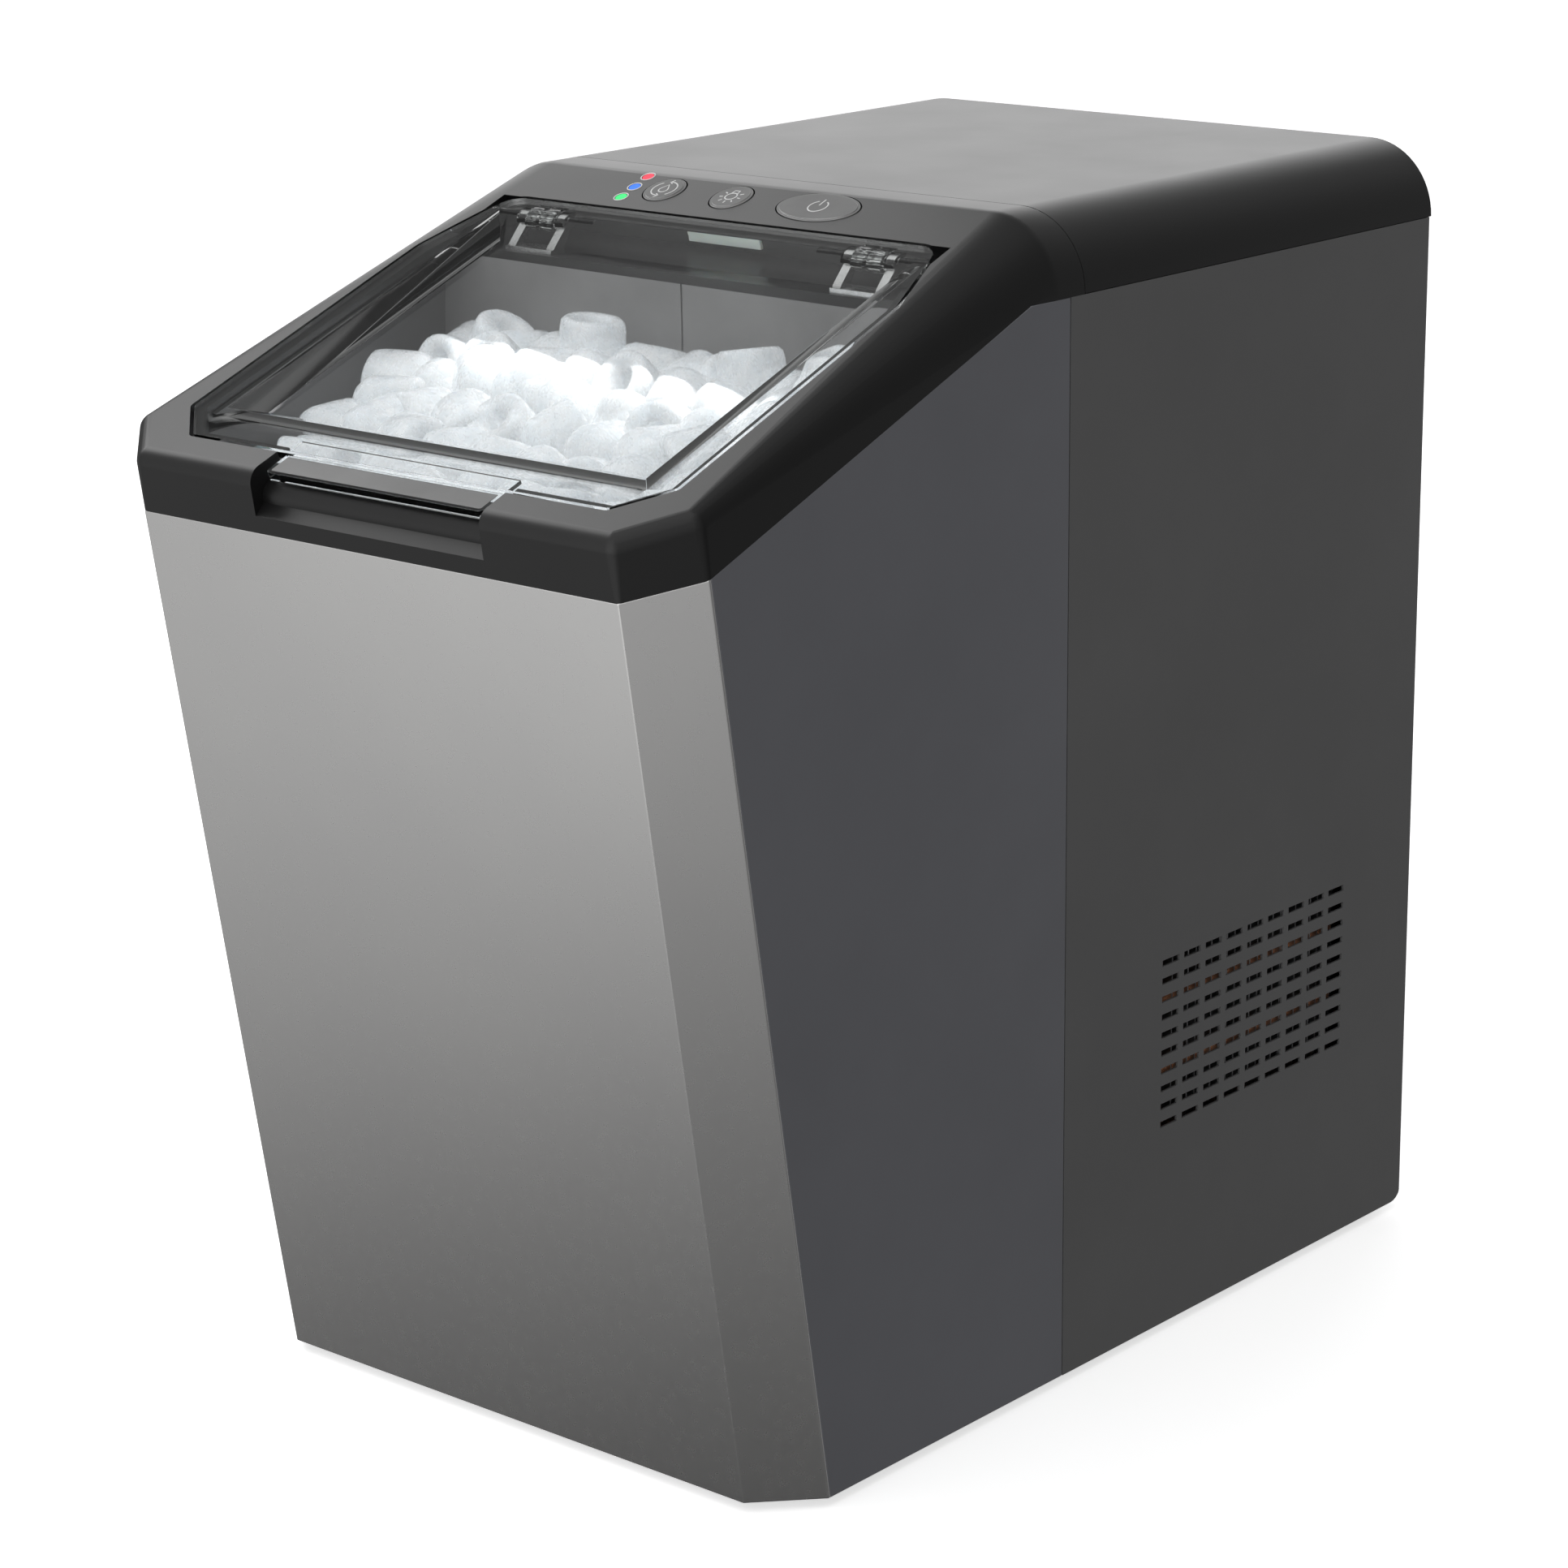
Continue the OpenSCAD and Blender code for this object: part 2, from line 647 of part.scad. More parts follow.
module button_shape(a, b, d) {
    if (a == b) circle(a + d);
    else polygon(ellipse(a + d, b + d));
}

module button(site) {
    stem_w = plunger_w + gap + button_travel;
    on_slope() translate([site.x, button_v, 0]) {
        // cap, its raised middle, the flange that holds it under the cover, and its stem
        translate([0, 0, cap_w0]) linear_extrude(cap_w1 - cap_w0) button_shape(site.y, site.z, 0);
        translate([0, 0, cap_w1]) linear_extrude(0.25) button_shape(site.y, site.z, -0.8);
        translate([0, 0, cap_w0 - 1.2]) linear_extrude(1.2) button_shape(site.y, site.z, 0.9);
        translate([0, 0, stem_w]) cylinder(h = cap_w0 - 1.2 - stem_w + 0.5, r = 2);
    }
}

module clean_button() { color("darkgray") button(button_sites[0]); }
module light_button() { color("darkgray") button(button_sites[1]); }
module power_button() { color("darkgray") button(button_sites[2]); }

module lens(i) {
    on_slope() translate([lens_x, button_v + i * lens_pitch, board_w1])
        cylinder(h = -board_w1, r = lens_d / 2);
}
module water_low_lens() { color("red") lens(1); }
module ice_full_lens() { color("royalblue") lens(0); }
module power_lens() { color("limegreen") lens(-1); }

module control_board() {
    color("darkgreen") on_slope() {
        block([lens_x - 6, button_v - 8.4, board_w0], [power_x + 18, button_v + 10, board_w1]);
        block([power_x + 6, button_v - 6, board_w0 - 4], [power_x + 14, button_v + 6, board_w0]);
    }
}

module button_switches() {
    color("black") on_slope() for (b = button_sites) translate([b.x, button_v, 0]) {
        block([-3, -3, board_w1], [3, 3, board_w1 + 0.4]);
        translate([0, 0, board_w1]) cylinder(h = plunger_w - board_w1, r = 1.5);
    }
}

module chamber_lamp() {
    color("ivory") {
        block([-14, upstand_y - 1, ledge_z + 2], [14, upstand_y + liner_t, ledge_z + 7]);
        block([-18, upstand_y + liner_t, ledge_z + 0.5], [18, upstand_y + liner_t + 1.2, ledge_z + 8.5]);
    }
}

// ---------- tank and ice chamber ----------

module inner_box(x, y0, y1, z0, z1, lean) {
    intersection() {
        lean_front(lean);
        block([-x, y0, z0], [x, y1, z1]);
    }
}

module tank_liner() {
    color("gray") difference() {
        union() {
            difference() {
                intersection() {
                    lean_front(liner_lean);
                    union() {
                        block([-liner_x, -far, liner_z], [liner_x, upstand_y + liner_t, far]);
                        block([-liner_x, 0, liner_z], [liner_x, chamber_back, ledge_z]);
                        block([-liner_x, upstand_y, liner_z], [liner_x, chamber_back, ledge_z]);
                    }
                    on_slope() block([-far, -far, -far], [far, far, -ledge_drop]);
                }
                inner_box(liner_in_x, -far, chamber_back - liner_t, liner_z + liner_t, roof_z, liner_in_lean);
                inner_box(liner_in_x, -far, wall_y, roof_z - 40, far, liner_in_lean);
                block([-liner_in_x, wall_y - 1, ledge_z], [liner_in_x, upstand_y, far]);
            }
            // shelves that carry the basket
            for (s = [-1, 1])
                block([min(s * (liner_in_x - 8), s * (liner_in_x + 1)), basket_back - 74, shelf_z - 3],
                      [max(s * (liner_in_x - 8), s * (liner_in_x + 1)), basket_back - 4, shelf_z]);
        }
        on_slope() {
            // clear of the finger recess and of the bezel's curved sides
            block([-notch_w / 2 - cover_t - 0.1, -far, notch_floor - cover_t - 0.1],
                  [notch_w / 2 + cover_t + 0.1, rim_front + 1, far]);
            for (s = [-1, 1]) block([s * (liner_x + 4) - 10, -far, -13], [s * (liner_x + 4) + 10, far, far]);
        }
        rod_x(tray_x1, far, axis_y, axis_z, axle_r);
        rod_z(liner_z - 1, liner_z + liner_t + 1, 0, drain_y, drain_pipe_r);
        block([-14, upstand_y - 1, ledge_z + 2], [14, upstand_y + liner_t + 1, ledge_z + 7]);
        for (p = attic_ports()) rod_z(roof_z - 1, ledge_z + 1, p.x, p.y, p.z);
        for (s = [-1, 1]) rod_x(s * liner_x - 6, s * liner_x + 6, sensor_y, sensor_z, sensor_r);
    }
}

sensor_r = 4;
sensor_y = wall_y - 34;
sensor_z = roof_z - 50;
// Holes in the chamber roof: x, y and radius
function attic_ports() = [[suction_x, axis_y, pipe_r], [hot_gas_x, axis_y, pipe_r],
                          [capillary_x, axis_y, 1.5]];
suction_x = -30;
hot_gas_x = 40;
capillary_x = 10;

module tank_insulation() {
    top = bezel_z - 16;
    color("white") difference() {
        inner_box(half_w - panel_t - 0.7, -far, chamber_back, liner_z, top, 2);
        inner_box(liner_x, -far, far, liner_z - 1, top + 1, liner_lean);
        rod_x(tray_x1, far, axis_y, axis_z, axle_r + 2);
    }
}

module chamber_cover() {
    color("gray") difference() {
        block([-liner_in_x, wall_y, axis_z - 31], [liner_in_x, wall_y + 2.5, roof_z]);
        for (s = [-1, 1]) rod_y(wall_y - 1, wall_y + 4, s * (liner_in_x - 12), axis_z - 20, 2);
        // seam line down the middle of its face
        block([-0.3, wall_y - 1, axis_z - 40], [0.3, wall_y + 0.8, far]);
    }
}

basket_slot_w = 5;
floor_slot = [22, 36];         // pitch of the drain slots, across and along
side_slot_pitch = 22;
module ice_basket() {
    top = basket_z + basket_h;
    color("whitesmoke") difference() {
        union() {
            inner_box(basket_x, -far, basket_back, basket_z, top, basket_lean);
            inner_box(basket_x + 2, -far, basket_back + 2, top - 3, top, basket_lean - 2);
        }
        inner_box(basket_x - basket_t, -far, basket_back - basket_t,
                  basket_z + basket_t, top + 1, basket_lean + basket_t);
        // low mouth at the rear, where the ice comes in
        block([-basket_x + 14, basket_back - 8, mouth_z], [basket_x - 14, basket_back + 8, top + 1]);
        // drain slots in the floor and the sides
        for (i = [-3:3], j = [0:1])
            block([i * floor_slot.x - basket_slot_w / 2, basket_back - 76 + j * floor_slot.y, basket_z - 1],
                  [i * floor_slot.x + basket_slot_w / 2, basket_back - 48 + j * floor_slot.y,
                   basket_z + basket_t + 1]);
        for (j = [0:2])
            block([-far, basket_back - 70 + j * side_slot_pitch, basket_z + 14],
                  [far, basket_back - 70 + j * side_slot_pitch + basket_slot_w, basket_z + 50]);
    }
}

rack_fall = 0.2;
rack_back = chamber_back - liner_t - 9;
rack_front = wall_y + 1;
module ice_rack() {
    bars = 13;
    bar_w = 3;
    bar_h = 3;
    x1 = liner_in_x - 12;
    front_z = rack_z - (rack_back - rack_front) * rack_fall;
    color("whitesmoke") {
        for (i = [0:bars - 1])
            let (x = -x1 + i * (2 * x1 - bar_w) / (bars - 1)) across(x, x + bar_w)
                polygon([[rack_front, front_z - bar_h], [rack_back, rack_z - bar_h],
                         [rack_back, rack_z], [rack_front, front_z]]);
        block([-liner_in_x, rack_back - 6, rack_z - 8], [liner_in_x, rack_back - 2, rack_z - 3]);
        block([-liner_in_x, rack_front + 0.5, rack_z - 24], [liner_in_x, rack_front + 4, rack_z - 18]);
    }
}

module evaporator_plate() {
    color("#b87333") union() {
        block([plate_x0, axis_y - 14, axis_z], [plate_x1, axis_y + 14, axis_z + 6]);
        for (s = [-1, 1]) rod_x(plate_x0 + 2, plate_x1 - 2, axis_y + s * row_y, axis_z + 8, 3.5);
    }
}

module evaporator_fingers() {
    pitch = (plate_x1 - plate_x0 - 16) / (front_fingers - 1);
    color("silver") {
        for (i = [0:front_fingers - 1])
            finger(plate_x0 + 8 + i * pitch, axis_y - row_y);
        for (i = [0:front_fingers - 2])
            finger(plate_x0 + 8 + (i + 0.5) * pitch, axis_y + row_y);
    }
}

module finger(x, y) {
    rod_z(axis_z - finger_l + finger_d / 2, axis_z, x, y, finger_d / 2);
    translate([x, y, axis_z - finger_l + finger_d / 2]) sphere(r = finger_d / 2, $fn = 32);
}

module evaporator_hangers() {
    color("silver") for (x = [plate_x0 + 6, plate_x1 - 6]) {
        block([x - 4, axis_y - 4, axis_z + 6], [x + 4, axis_y + 4, axis_z + 7]);
        block([x - 4, axis_y - 1, axis_z + 7], [x + 4, axis_y + 1, roof_z - 1]);
        block([x - 4, axis_y - 8, roof_z - 1], [x + 4, axis_y + 8, roof_z]);
    }
}

tray_edge = 15;                // trough's edges below the horizontal, in degrees

module tray_sector(r) {
    difference() {
        circle(r);
        polygon([[0, 0], [far * cos(tray_edge), -far * sin(tray_edge)], [far, far], [-far, far],
                 [-far * cos(tray_edge), -far * sin(tray_edge)]]);
    }
}

module water_tray() {
    color("lightgray") difference() {
        union() {
            translate([0, axis_y, axis_z]) across(tray_x0, tray_x1)
                difference() { tray_sector(tray_r); circle(tray_r - tray_t); }
            for (x = [tray_x0, tray_x1 - tray_t])
                translate([0, axis_y, axis_z]) across(x, x + tray_t)
                    union() { tray_sector(tray_r); circle(hub_r); }
            rod_x(tray_x0 - 7, tray_x0, axis_y, axis_z, hub_r);
            rod_x(tray_x1, tray_x1 + 7, axis_y, axis_z, hub_r);
        }
        rod_x(tray_x0 - 8, tray_x0 + 5, axis_y, axis_z, axle_r);
        rod_x(tray_x1 - 5, tray_x1 + 8, axis_y, axis_z, axle_r + run_gap);
    }
}

module tray_axle() { color("silver") rod_x(tray_x1 - 1, liner_x, axis_y, axis_z, axle_r); }

motor_x1 = tray_x0 - 11;
module tray_gearmotor() {
    color("dimgray") difference() {
        union() {
            block([-liner_in_x, axis_y - 20, axis_z - 16], [motor_x1, axis_y + 20, axis_z + 16]);
            rod_x(motor_x1, motor_x1 + 2, axis_y, axis_z, 6);
        }
        rod_x(motor_x1 - 12, motor_x1 + 3, axis_y, axis_z, axle_r + 0.3);
    }
}

module gearmotor_shaft() {
    color("silver") rod_x(motor_x1 - 11.5, tray_x0 + 4, axis_y, axis_z, axle_r);
}

// ---------- water circuit ----------

pump_x = liner_in_x - 44;
pump_y = wall_y + 20;
pump_z = liner_z + liner_t;
pump_r = 15;
hose_x = liner_in_x - 6;
hose_y = wall_y + 12;
hose_r = 4;

module pump_body() {
    color("black") difference() {
        union() {
            rod_z(pump_z, pump_z + 14, pump_x, pump_y, pump_r + 3);
            rod_z(pump_z + 14, pump_z + 38, pump_x, pump_y, pump_r - 2);
            rod_x(pump_x, hose_x - 6, hose_y, pump_z + 7, 4);
        }
        rod_z(pump_z + 2, pump_z + 12, pump_x, pump_y, pump_r);
        rod_x(pump_x + 5, hose_x, hose_y, pump_z + 7, 2.5);
        rod_z(pump_z - 1, pump_z + 3, pump_x, pump_y, 7);
    }
}

module pump_impeller() {
    color("white") {
        rod_z(pump_z + 3, pump_z + 5, pump_x, pump_y, 12);
        rod_z(pump_z + 5, pump_z + 11, pump_x, pump_y, 4);
        for (a = [0:60:300]) translate([pump_x, pump_y, pump_z + 5]) rotate([0, 0, a])
            translate([3, -0.8, 0]) cube([9, 1.6, 5]);
    }
}

module fill_hose() {
    spout_y = axis_y - 20;
    color("whitesmoke") pipe([[hose_x - 6, hose_y, pump_z + 7], [hose_x, hose_y, pump_z + 7],
        [hose_x, hose_y, axis_z + 13], [hose_x, spout_y, axis_z + 13],
        [plate_x1 + 5, spout_y, axis_z + 13], [plate_x1 + 5, spout_y, axis_z + 4]], hose_r);
}

module level_probes() {
    y = chamber_back - liner_t;
    color("silver") for (z = [liner_z + 20, liner_z + 50]) {
        rod_y(y - 4, y, -30, z, 6);
        rod_y(y - 12, y - 4, -30, z, 2);
    }
}

module ice_sensors() {
    color("black") for (s = [-1, 1])
        rod_x(min(s * (liner_in_x - 2), s * liner_x), max(s * (liner_in_x - 2), s * liner_x),
              sensor_y, sensor_z, sensor_r);
}

module drain_pipe() {
    color("whitesmoke") difference() {
        rod_z(floor_z + 3, liner_z + liner_t, 0, drain_y, drain_pipe_r);
        rod_z(0, far, 0, drain_y, drain_r);
    }
}

module drain_cap() {
    color("dimgray") difference() {
        union() {
            rod_z(foot_h + 0.6, floor_z + 2.4, 0, drain_y, cap_r);
            rod_z(floor_z + 2.4, floor_z + 12, 0, drain_y, drain_r - run_gap);
        }
        block([-10, drain_y - 1.5, 0], [10, drain_y + 1.5, foot_h + 2.6]);
    }
}

// ---------- base ----------

function foot_sites() = [for (s = [-1, 1]) each [[s * foot_x, foot_y0], [s * rear_foot_x, foot_y1]]];

module base_tray() {
    x = half_w - panel_t;
    top = foot_h + base_rim;
    color("#1c1c1c") difference() {
        union() {
            difference() {
                intersection() {
                    inner_box(x, -far, far, foot_h, top, panel_t);
                    linear_extrude(far) wrap_outline(panel_t, -far);
                }
                inner_box(x - cover_t, -far, back_y - 10, floor_z, top + 1, panel_t + cover_t);
            }
            for (s = [-1, 1], y = [foot_y0 + 24, chamber_back - 18])
                rod_z(floor_z - eps, liner_z, s * (liner_x - 16), y, 7);
            for (p = mount_sites()) rod_z(floor_z - eps, floor_z + 2, p.x, p.y, mount_r + 1);
            rod_z(floor_z - eps, floor_z + 2, 0, drain_y, cap_r + 4);
        }
        for (p = foot_sites()) rod_z(0, floor_z + 1, p.x, p.y, 4);
        for (p = screw_sites()) rod_y(back_y - screw_l - 1, back_y, p.x, p.y, screw_r);
        rod_z(0, far, 0, drain_y, cap_r + gap);
        for (p = mount_sites()) rod_z(foot_h + 1, far, p.x, p.y, bolt_r);
        across(-far, far)
            polygon([[back_y - wrap_corner - 2, foot_h - 1], [back_y, foot_h - 1],
                     [back_y, foot_h + wrap_corner + 1], [back_y - panel_t - 1, foot_h + wrap_corner + 1]]);
    }
}

module rubber_feet() {
    color("black") for (p = foot_sites()) {
        rod_z(0, foot_h, p.x, p.y, 9);
        rod_z(foot_h, floor_z, p.x, p.y, 4);
        rod_z(floor_z, floor_z + 3, p.x, p.y, 5.5);
    }
}

// ---------- refrigeration ----------

mount_dx = 34;
mount_dy = 46;
mount_r = 8;
mount_neck_r = 5;
bolt_r = 2.5;
comp_base_t = 2;
mount_top = comp_z + comp_base_t + 3;
function mount_sites() = [for (s = [-1, 1], t = [-1, 1]) [comp_x + s * mount_dx, comp_y + t * mount_dy]];

module compressor() {
    bottom = comp_z + comp_base_t;
    seam = bottom + compressor_h * 0.55;
    top = bottom + compressor_h;
    dome = 22;
    color("#15171a") {
        rod_z(bottom, top - dome, comp_x, comp_y, shell_r);
        rod_z(seam - 2, seam + 2, comp_x, comp_y, comp_r);
        translate([comp_x, comp_y, top - dome]) rotate_extrude($fn = 96)
            intersection() {
                translate([0, dome - shell_r]) circle(shell_r);
                square([comp_r, dome]);
            }
    }
}

module compressor_base() {
    color("#15171a") difference() {
        block([comp_x - mount_dx - 9, comp_y - mount_dy - 9, comp_z],
              [comp_x + mount_dx + 9, comp_y + mount_dy + 9, comp_z + comp_base_t]);
        for (p = mount_sites()) rod_z(comp_z - 1, comp_z + 3, p.x, p.y, mount_neck_r);
    }
}

module compressor_mounts() {
    color("black") for (p = mount_sites()) difference() {
        union() {
            rod_z(floor_z + 2, comp_z, p.x, p.y, mount_r);
            rod_z(comp_z, comp_z + comp_base_t, p.x, p.y, mount_neck_r);
            rod_z(comp_z + comp_base_t, mount_top, p.x, p.y, 7);
        }
        rod_z(0, far, p.x, p.y, bolt_r);
    }
}

module compressor_bolts() {
    color("silver") for (p = mount_sites()) {
        rod_z(foot_h + 1, mount_top, p.x, p.y, bolt_r);
        rod_z(mount_top, mount_top + 1, p.x, p.y, 6);
        translate([p.x, p.y, mount_top + 1]) cylinder(h = 4, r = 4.2, $fn = 6);
    }
}

module terminal_cover() {
    color("#202020") difference() {
        block([comp_x - 18, comp_y - comp_r - 12, comp_z + 20],
              [comp_x + 18, comp_y - comp_r + 26, comp_z + 56]);
        rod_z(0, far, comp_x, comp_y, shell_r);
    }
}

module condenser_fins() {
    pitch = (fan_size - 4) / (fin_count - 1);
    color("lightgray") difference() {
        for (i = [0:fin_count - 1])
            translate([cond_x0, fan_y - fan_size / 2 + 2 + i * pitch - 0.25, fan_z - fan_size / 2])
                cube([cond_t, 0.5, fan_size]);
        for (p = tube_rows()) rod_y(-far, far, p.x, p.y, pipe_r);
    }
}

function tube_rows() = [for (k = [0:3], s = [0, 1])
    [cond_x0 + 5 + s * 10, fan_z - fan_size / 2 + 12 + k * (fan_size - 24) / 3]];

function condenser_path() = let (rows = tube_rows(), y0 = fan_y - fan_size / 2 - 5,
                                 y1 = fan_y + fan_size / 2 + 5)
    // from the top level down: along one row, across at the front, back along the other row
    [for (k = [3:-1:0]) let (p = rows[2 * k + 1 - k % 2], q = rows[2 * k + k % 2]) each
        [[p.x, y1, p.y], [p.x, y0, p.y], [q.x, y0, q.y], [q.x, y1, q.y]]];
function condenser_ends() = let (path = condenser_path()) [path[0], path[len(path) - 1]];

module condenser_tube() { color("#b87333") pipe(condenser_path(), pipe_r); }

module fan_shroud() {
    y0 = fan_y - fan_size / 2 - 2;
    color("#2c2c2c") difference() {
        block([fan_x1, y0, floor_z], [cond_x0, y0 + fan_size + 4, fan_z + fan_size / 2 + 4]);
        rod_x(fan_x1 - 1, cond_x0 + 1, fan_y, fan_z, fan_r);
    }
}

module fan_frame() {
    x0 = fan_x1 - fan_t;
    y0 = fan_y - fan_size / 2;
    z0 = fan_z - fan_size / 2;
    color("black") {
        difference() {
            block([x0, y0, z0], [fan_x1, y0 + fan_size, z0 + fan_size]);
            rod_x(x0 - 1, fan_x1 + 1, fan_y, fan_z, fan_r);
        }
        // motor and its three struts
        difference() {
            union() {
                rod_x(x0, x0 + 6, fan_y, fan_z, 19);
                for (a = [90, 210, 330]) translate([x0, fan_y, fan_z]) rotate([a, 0, 0])
                    translate([0, -2.5, 12]) cube([4, 5, fan_r - 11]);
            }
            rod_x(x0 + 2, far, fan_y, fan_z, 2.5 + run_gap);
        }
    }
}

module fan_rotor() {
    x0 = fan_x1 - fan_t;
    blades = 7;
    color("#303030") {
        rod_x(x0 + 7, fan_x1 - 1.5, fan_y, fan_z, 19);
        rod_x(x0 + 2.5, x0 + 7, fan_y, fan_z, 2.5);
        for (i = [0:blades - 1]) translate([x0 + 15, fan_y, fan_z]) rotate([i * 360 / blades, 0, 0])
            translate([0, 0, 17]) rotate([0, 0, 40])
                translate([-0.7, -10, 0]) cube([1.4, 20, fan_r - 20.5]);
    }
}

drier_x = 18;
drier_y = back_y - 14;
drier_z = fan_z - 18;
module filter_drier() {
    color("#b87333") {
        rod_z(drier_z, drier_z + 68, drier_x, drier_y, 8);
        translate([drier_x, drier_y, drier_z + 68]) cylinder(h = 8, r1 = 8, r2 = 2.5);
        translate([drier_x, drier_y, drier_z - 8]) cylinder(h = 8, r1 = pipe_r, r2 = 8);
    }
}

valve = [hot_gas_x, back_y - 26, fan_z + 92];
module hot_gas_valve() {
    color("darkgoldenrod") {
        difference() {
            block(valve - [9, 9, 13], valve + [9, 9, -2]);
            rod_x(0, far, valve.y, discharge_z, pipe_r);
        }
        rod_z(valve.z - 2, valve.z + 24, valve.x, valve.y, 11);
        rod_z(valve.z + 24, valve.z + 28, valve.x, valve.y, 4);
    }
}

discharge_z = valve.z - 7.5;
module discharge_pipe() {
    x = comp_x + 18;
    y = comp_y + 14;
    inlet = condenser_ends()[0];
    color("#b87333") difference() {
        pipe([[x, y, comp_z + compressor_h - 20], [x, y, discharge_z], [x, valve.y, discharge_z],
              [inlet.x, valve.y, discharge_z], [inlet.x, valve.y, inlet.z], inlet], pipe_r);
        compressor();
    }
}

module hot_gas_pipe() {
    y = valve.y - 26;
    color("#b87333") pipe([[valve.x, valve.y - 9, discharge_z], [valve.x, y, discharge_z],
                           [valve.x, y, attic_z], [valve.x, axis_y, attic_z],
                           [valve.x, axis_y, axis_z + 6]], pipe_r);
}

module suction_pipe() {
    y = comp_y + comp_r - 18;
    color("#b87333") difference() {
        pipe([[suction_x, axis_y, axis_z + 6], [suction_x, axis_y, attic_z],
              [suction_x, y, attic_z], [suction_x - 46, y, attic_z],
              [suction_x - 46, y, comp_z + compressor_h - 40]], pipe_r);
        compressor();
    }
}

module liquid_pipe() {
    outlet = condenser_ends()[1];
    color("#b87333") pipe([outlet, [outlet.x, drier_y, outlet.z], [drier_x, drier_y, outlet.z],
                           [drier_x, drier_y, drier_z - 8]], pipe_r);
}

module capillary_tube() {
    color("#b87333") pipe([[drier_x, drier_y, drier_z + 76], [drier_x, drier_y, attic_z + 4],
                           [capillary_x, drier_y, attic_z + 4], [capillary_x, axis_y, attic_z + 4],
                           [capillary_x, axis_y, axis_z + 6]], 1.5);
}

// ---------- electronics and small hardware ----------

board_y = chamber_back + 6;
board_x0 = -half_w + 26;
board_x1 = board_x0 + 110;
board_z0 = roof_z - 112;
board_z1 = roof_z - 22;

module power_board() {
    color("darkgreen") {
        block([board_x0, board_y, board_z0], [board_x1, board_y + 1.6, board_z1]);
        block([board_x0 + 8, board_y + 1.6, board_z0 + 10], [board_x0 + 40, board_y + 22, board_z0 + 38]);
        for (i = [0:2]) block([board_x0 + 52 + i * 18, board_y + 1.6, board_z0 + 52],
                              [board_x0 + 66 + i * 18, board_y + 16, board_z0 + 72]);
        for (x = [58, 78]) rod_y(board_y + 1.6, board_y + 20, board_x0 + x, board_z0 + 22, 7);
    }
}

module board_standoffs() {
    color("silver") for (x = [board_x0 + 5, board_x1 - 5], z = [board_z0 + 5, board_z1 - 5])
        rod_y(chamber_back, board_y, x, z, 3);
}

module cord_gland() {
    color("black") difference() {
        union() {
            rod_y(back_y - panel_t, back_y, gland_x, gland_z, gland_r);
            rod_y(back_y - gland_l, back_y - panel_t, gland_x, gland_z, gland_r + 2);
        }
        rod_y(back_y - gland_l - 1, back_y + 1, gland_x, gland_z, cord_r);
    }
}

module case_screws() {
    cross_l = 2;
    cross_w = 0.4;
    color("silver") for (p = screw_sites()) {
        difference() {
            screw_head(p);
            block([p.x - cross_l, back_y - cross_w, p.y - cross_w], [p.x + cross_l, far, p.y + cross_w]);
            block([p.x - cross_w, back_y - cross_w, p.y - cross_l], [p.x + cross_w, far, p.y + cross_l]);
        }
        rod_y(back_y - screw_l, back_y - panel_t, p.x, p.y, screw_r);
    }
}

front_panel();
left_side_panel();
right_side_panel();
rear_wrap();
front_bezel();
top_cover();
lid();
hinge_brackets();
hinge_pins();
power_button();
light_button();
clean_button();
water_low_lens();
ice_full_lens();
power_lens();
control_board();
button_switches();
chamber_lamp();
tank_liner();
tank_insulation();
chamber_cover();
ice_basket();
ice_rack();
evaporator_plate();
evaporator_fingers();
evaporator_hangers();
water_tray();
tray_axle();
tray_gearmotor();
gearmotor_shaft();
pump_body();
pump_impeller();
fill_hose();
level_probes();
ice_sensors();
drain_pipe();
drain_cap();
base_tray();
rubber_feet();
compressor();
compressor_base();
compressor_mounts();
compressor_bolts();
terminal_cover();
condenser_fins();
condenser_tube();
fan_shroud();
fan_frame();
fan_rotor();
filter_drier();
hot_gas_valve();
discharge_pipe();
hot_gas_pipe();
suction_pipe();
liquid_pipe();
capillary_tube();
power_board();
board_standoffs();
cord_gland();
case_screws();
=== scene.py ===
"""Looks of a countertop ice maker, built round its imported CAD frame. Metres, +Y to the rear, +Z up."""
import json
import math
import random

import bmesh
import bpy
import numpy as np
from mathutils import Euler, Matrix, Vector

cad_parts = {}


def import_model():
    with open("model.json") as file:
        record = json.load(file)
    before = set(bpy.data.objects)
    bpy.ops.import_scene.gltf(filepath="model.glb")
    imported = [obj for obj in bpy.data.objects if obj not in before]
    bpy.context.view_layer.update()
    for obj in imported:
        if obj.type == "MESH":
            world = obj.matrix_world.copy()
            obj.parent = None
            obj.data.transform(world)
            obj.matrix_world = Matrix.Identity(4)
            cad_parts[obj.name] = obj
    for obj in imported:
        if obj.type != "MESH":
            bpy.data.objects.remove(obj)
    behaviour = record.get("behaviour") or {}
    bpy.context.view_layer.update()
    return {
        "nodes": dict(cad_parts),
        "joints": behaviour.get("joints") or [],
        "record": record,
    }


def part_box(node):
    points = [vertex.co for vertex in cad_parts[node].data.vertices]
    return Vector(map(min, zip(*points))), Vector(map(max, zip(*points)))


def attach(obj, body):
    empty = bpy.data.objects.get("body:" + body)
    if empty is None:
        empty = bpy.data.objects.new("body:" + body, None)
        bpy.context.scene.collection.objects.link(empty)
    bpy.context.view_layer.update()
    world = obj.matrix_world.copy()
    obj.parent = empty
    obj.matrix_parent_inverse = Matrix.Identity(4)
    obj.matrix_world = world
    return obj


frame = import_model()
NODES = frame["nodes"]
MM = 0.001

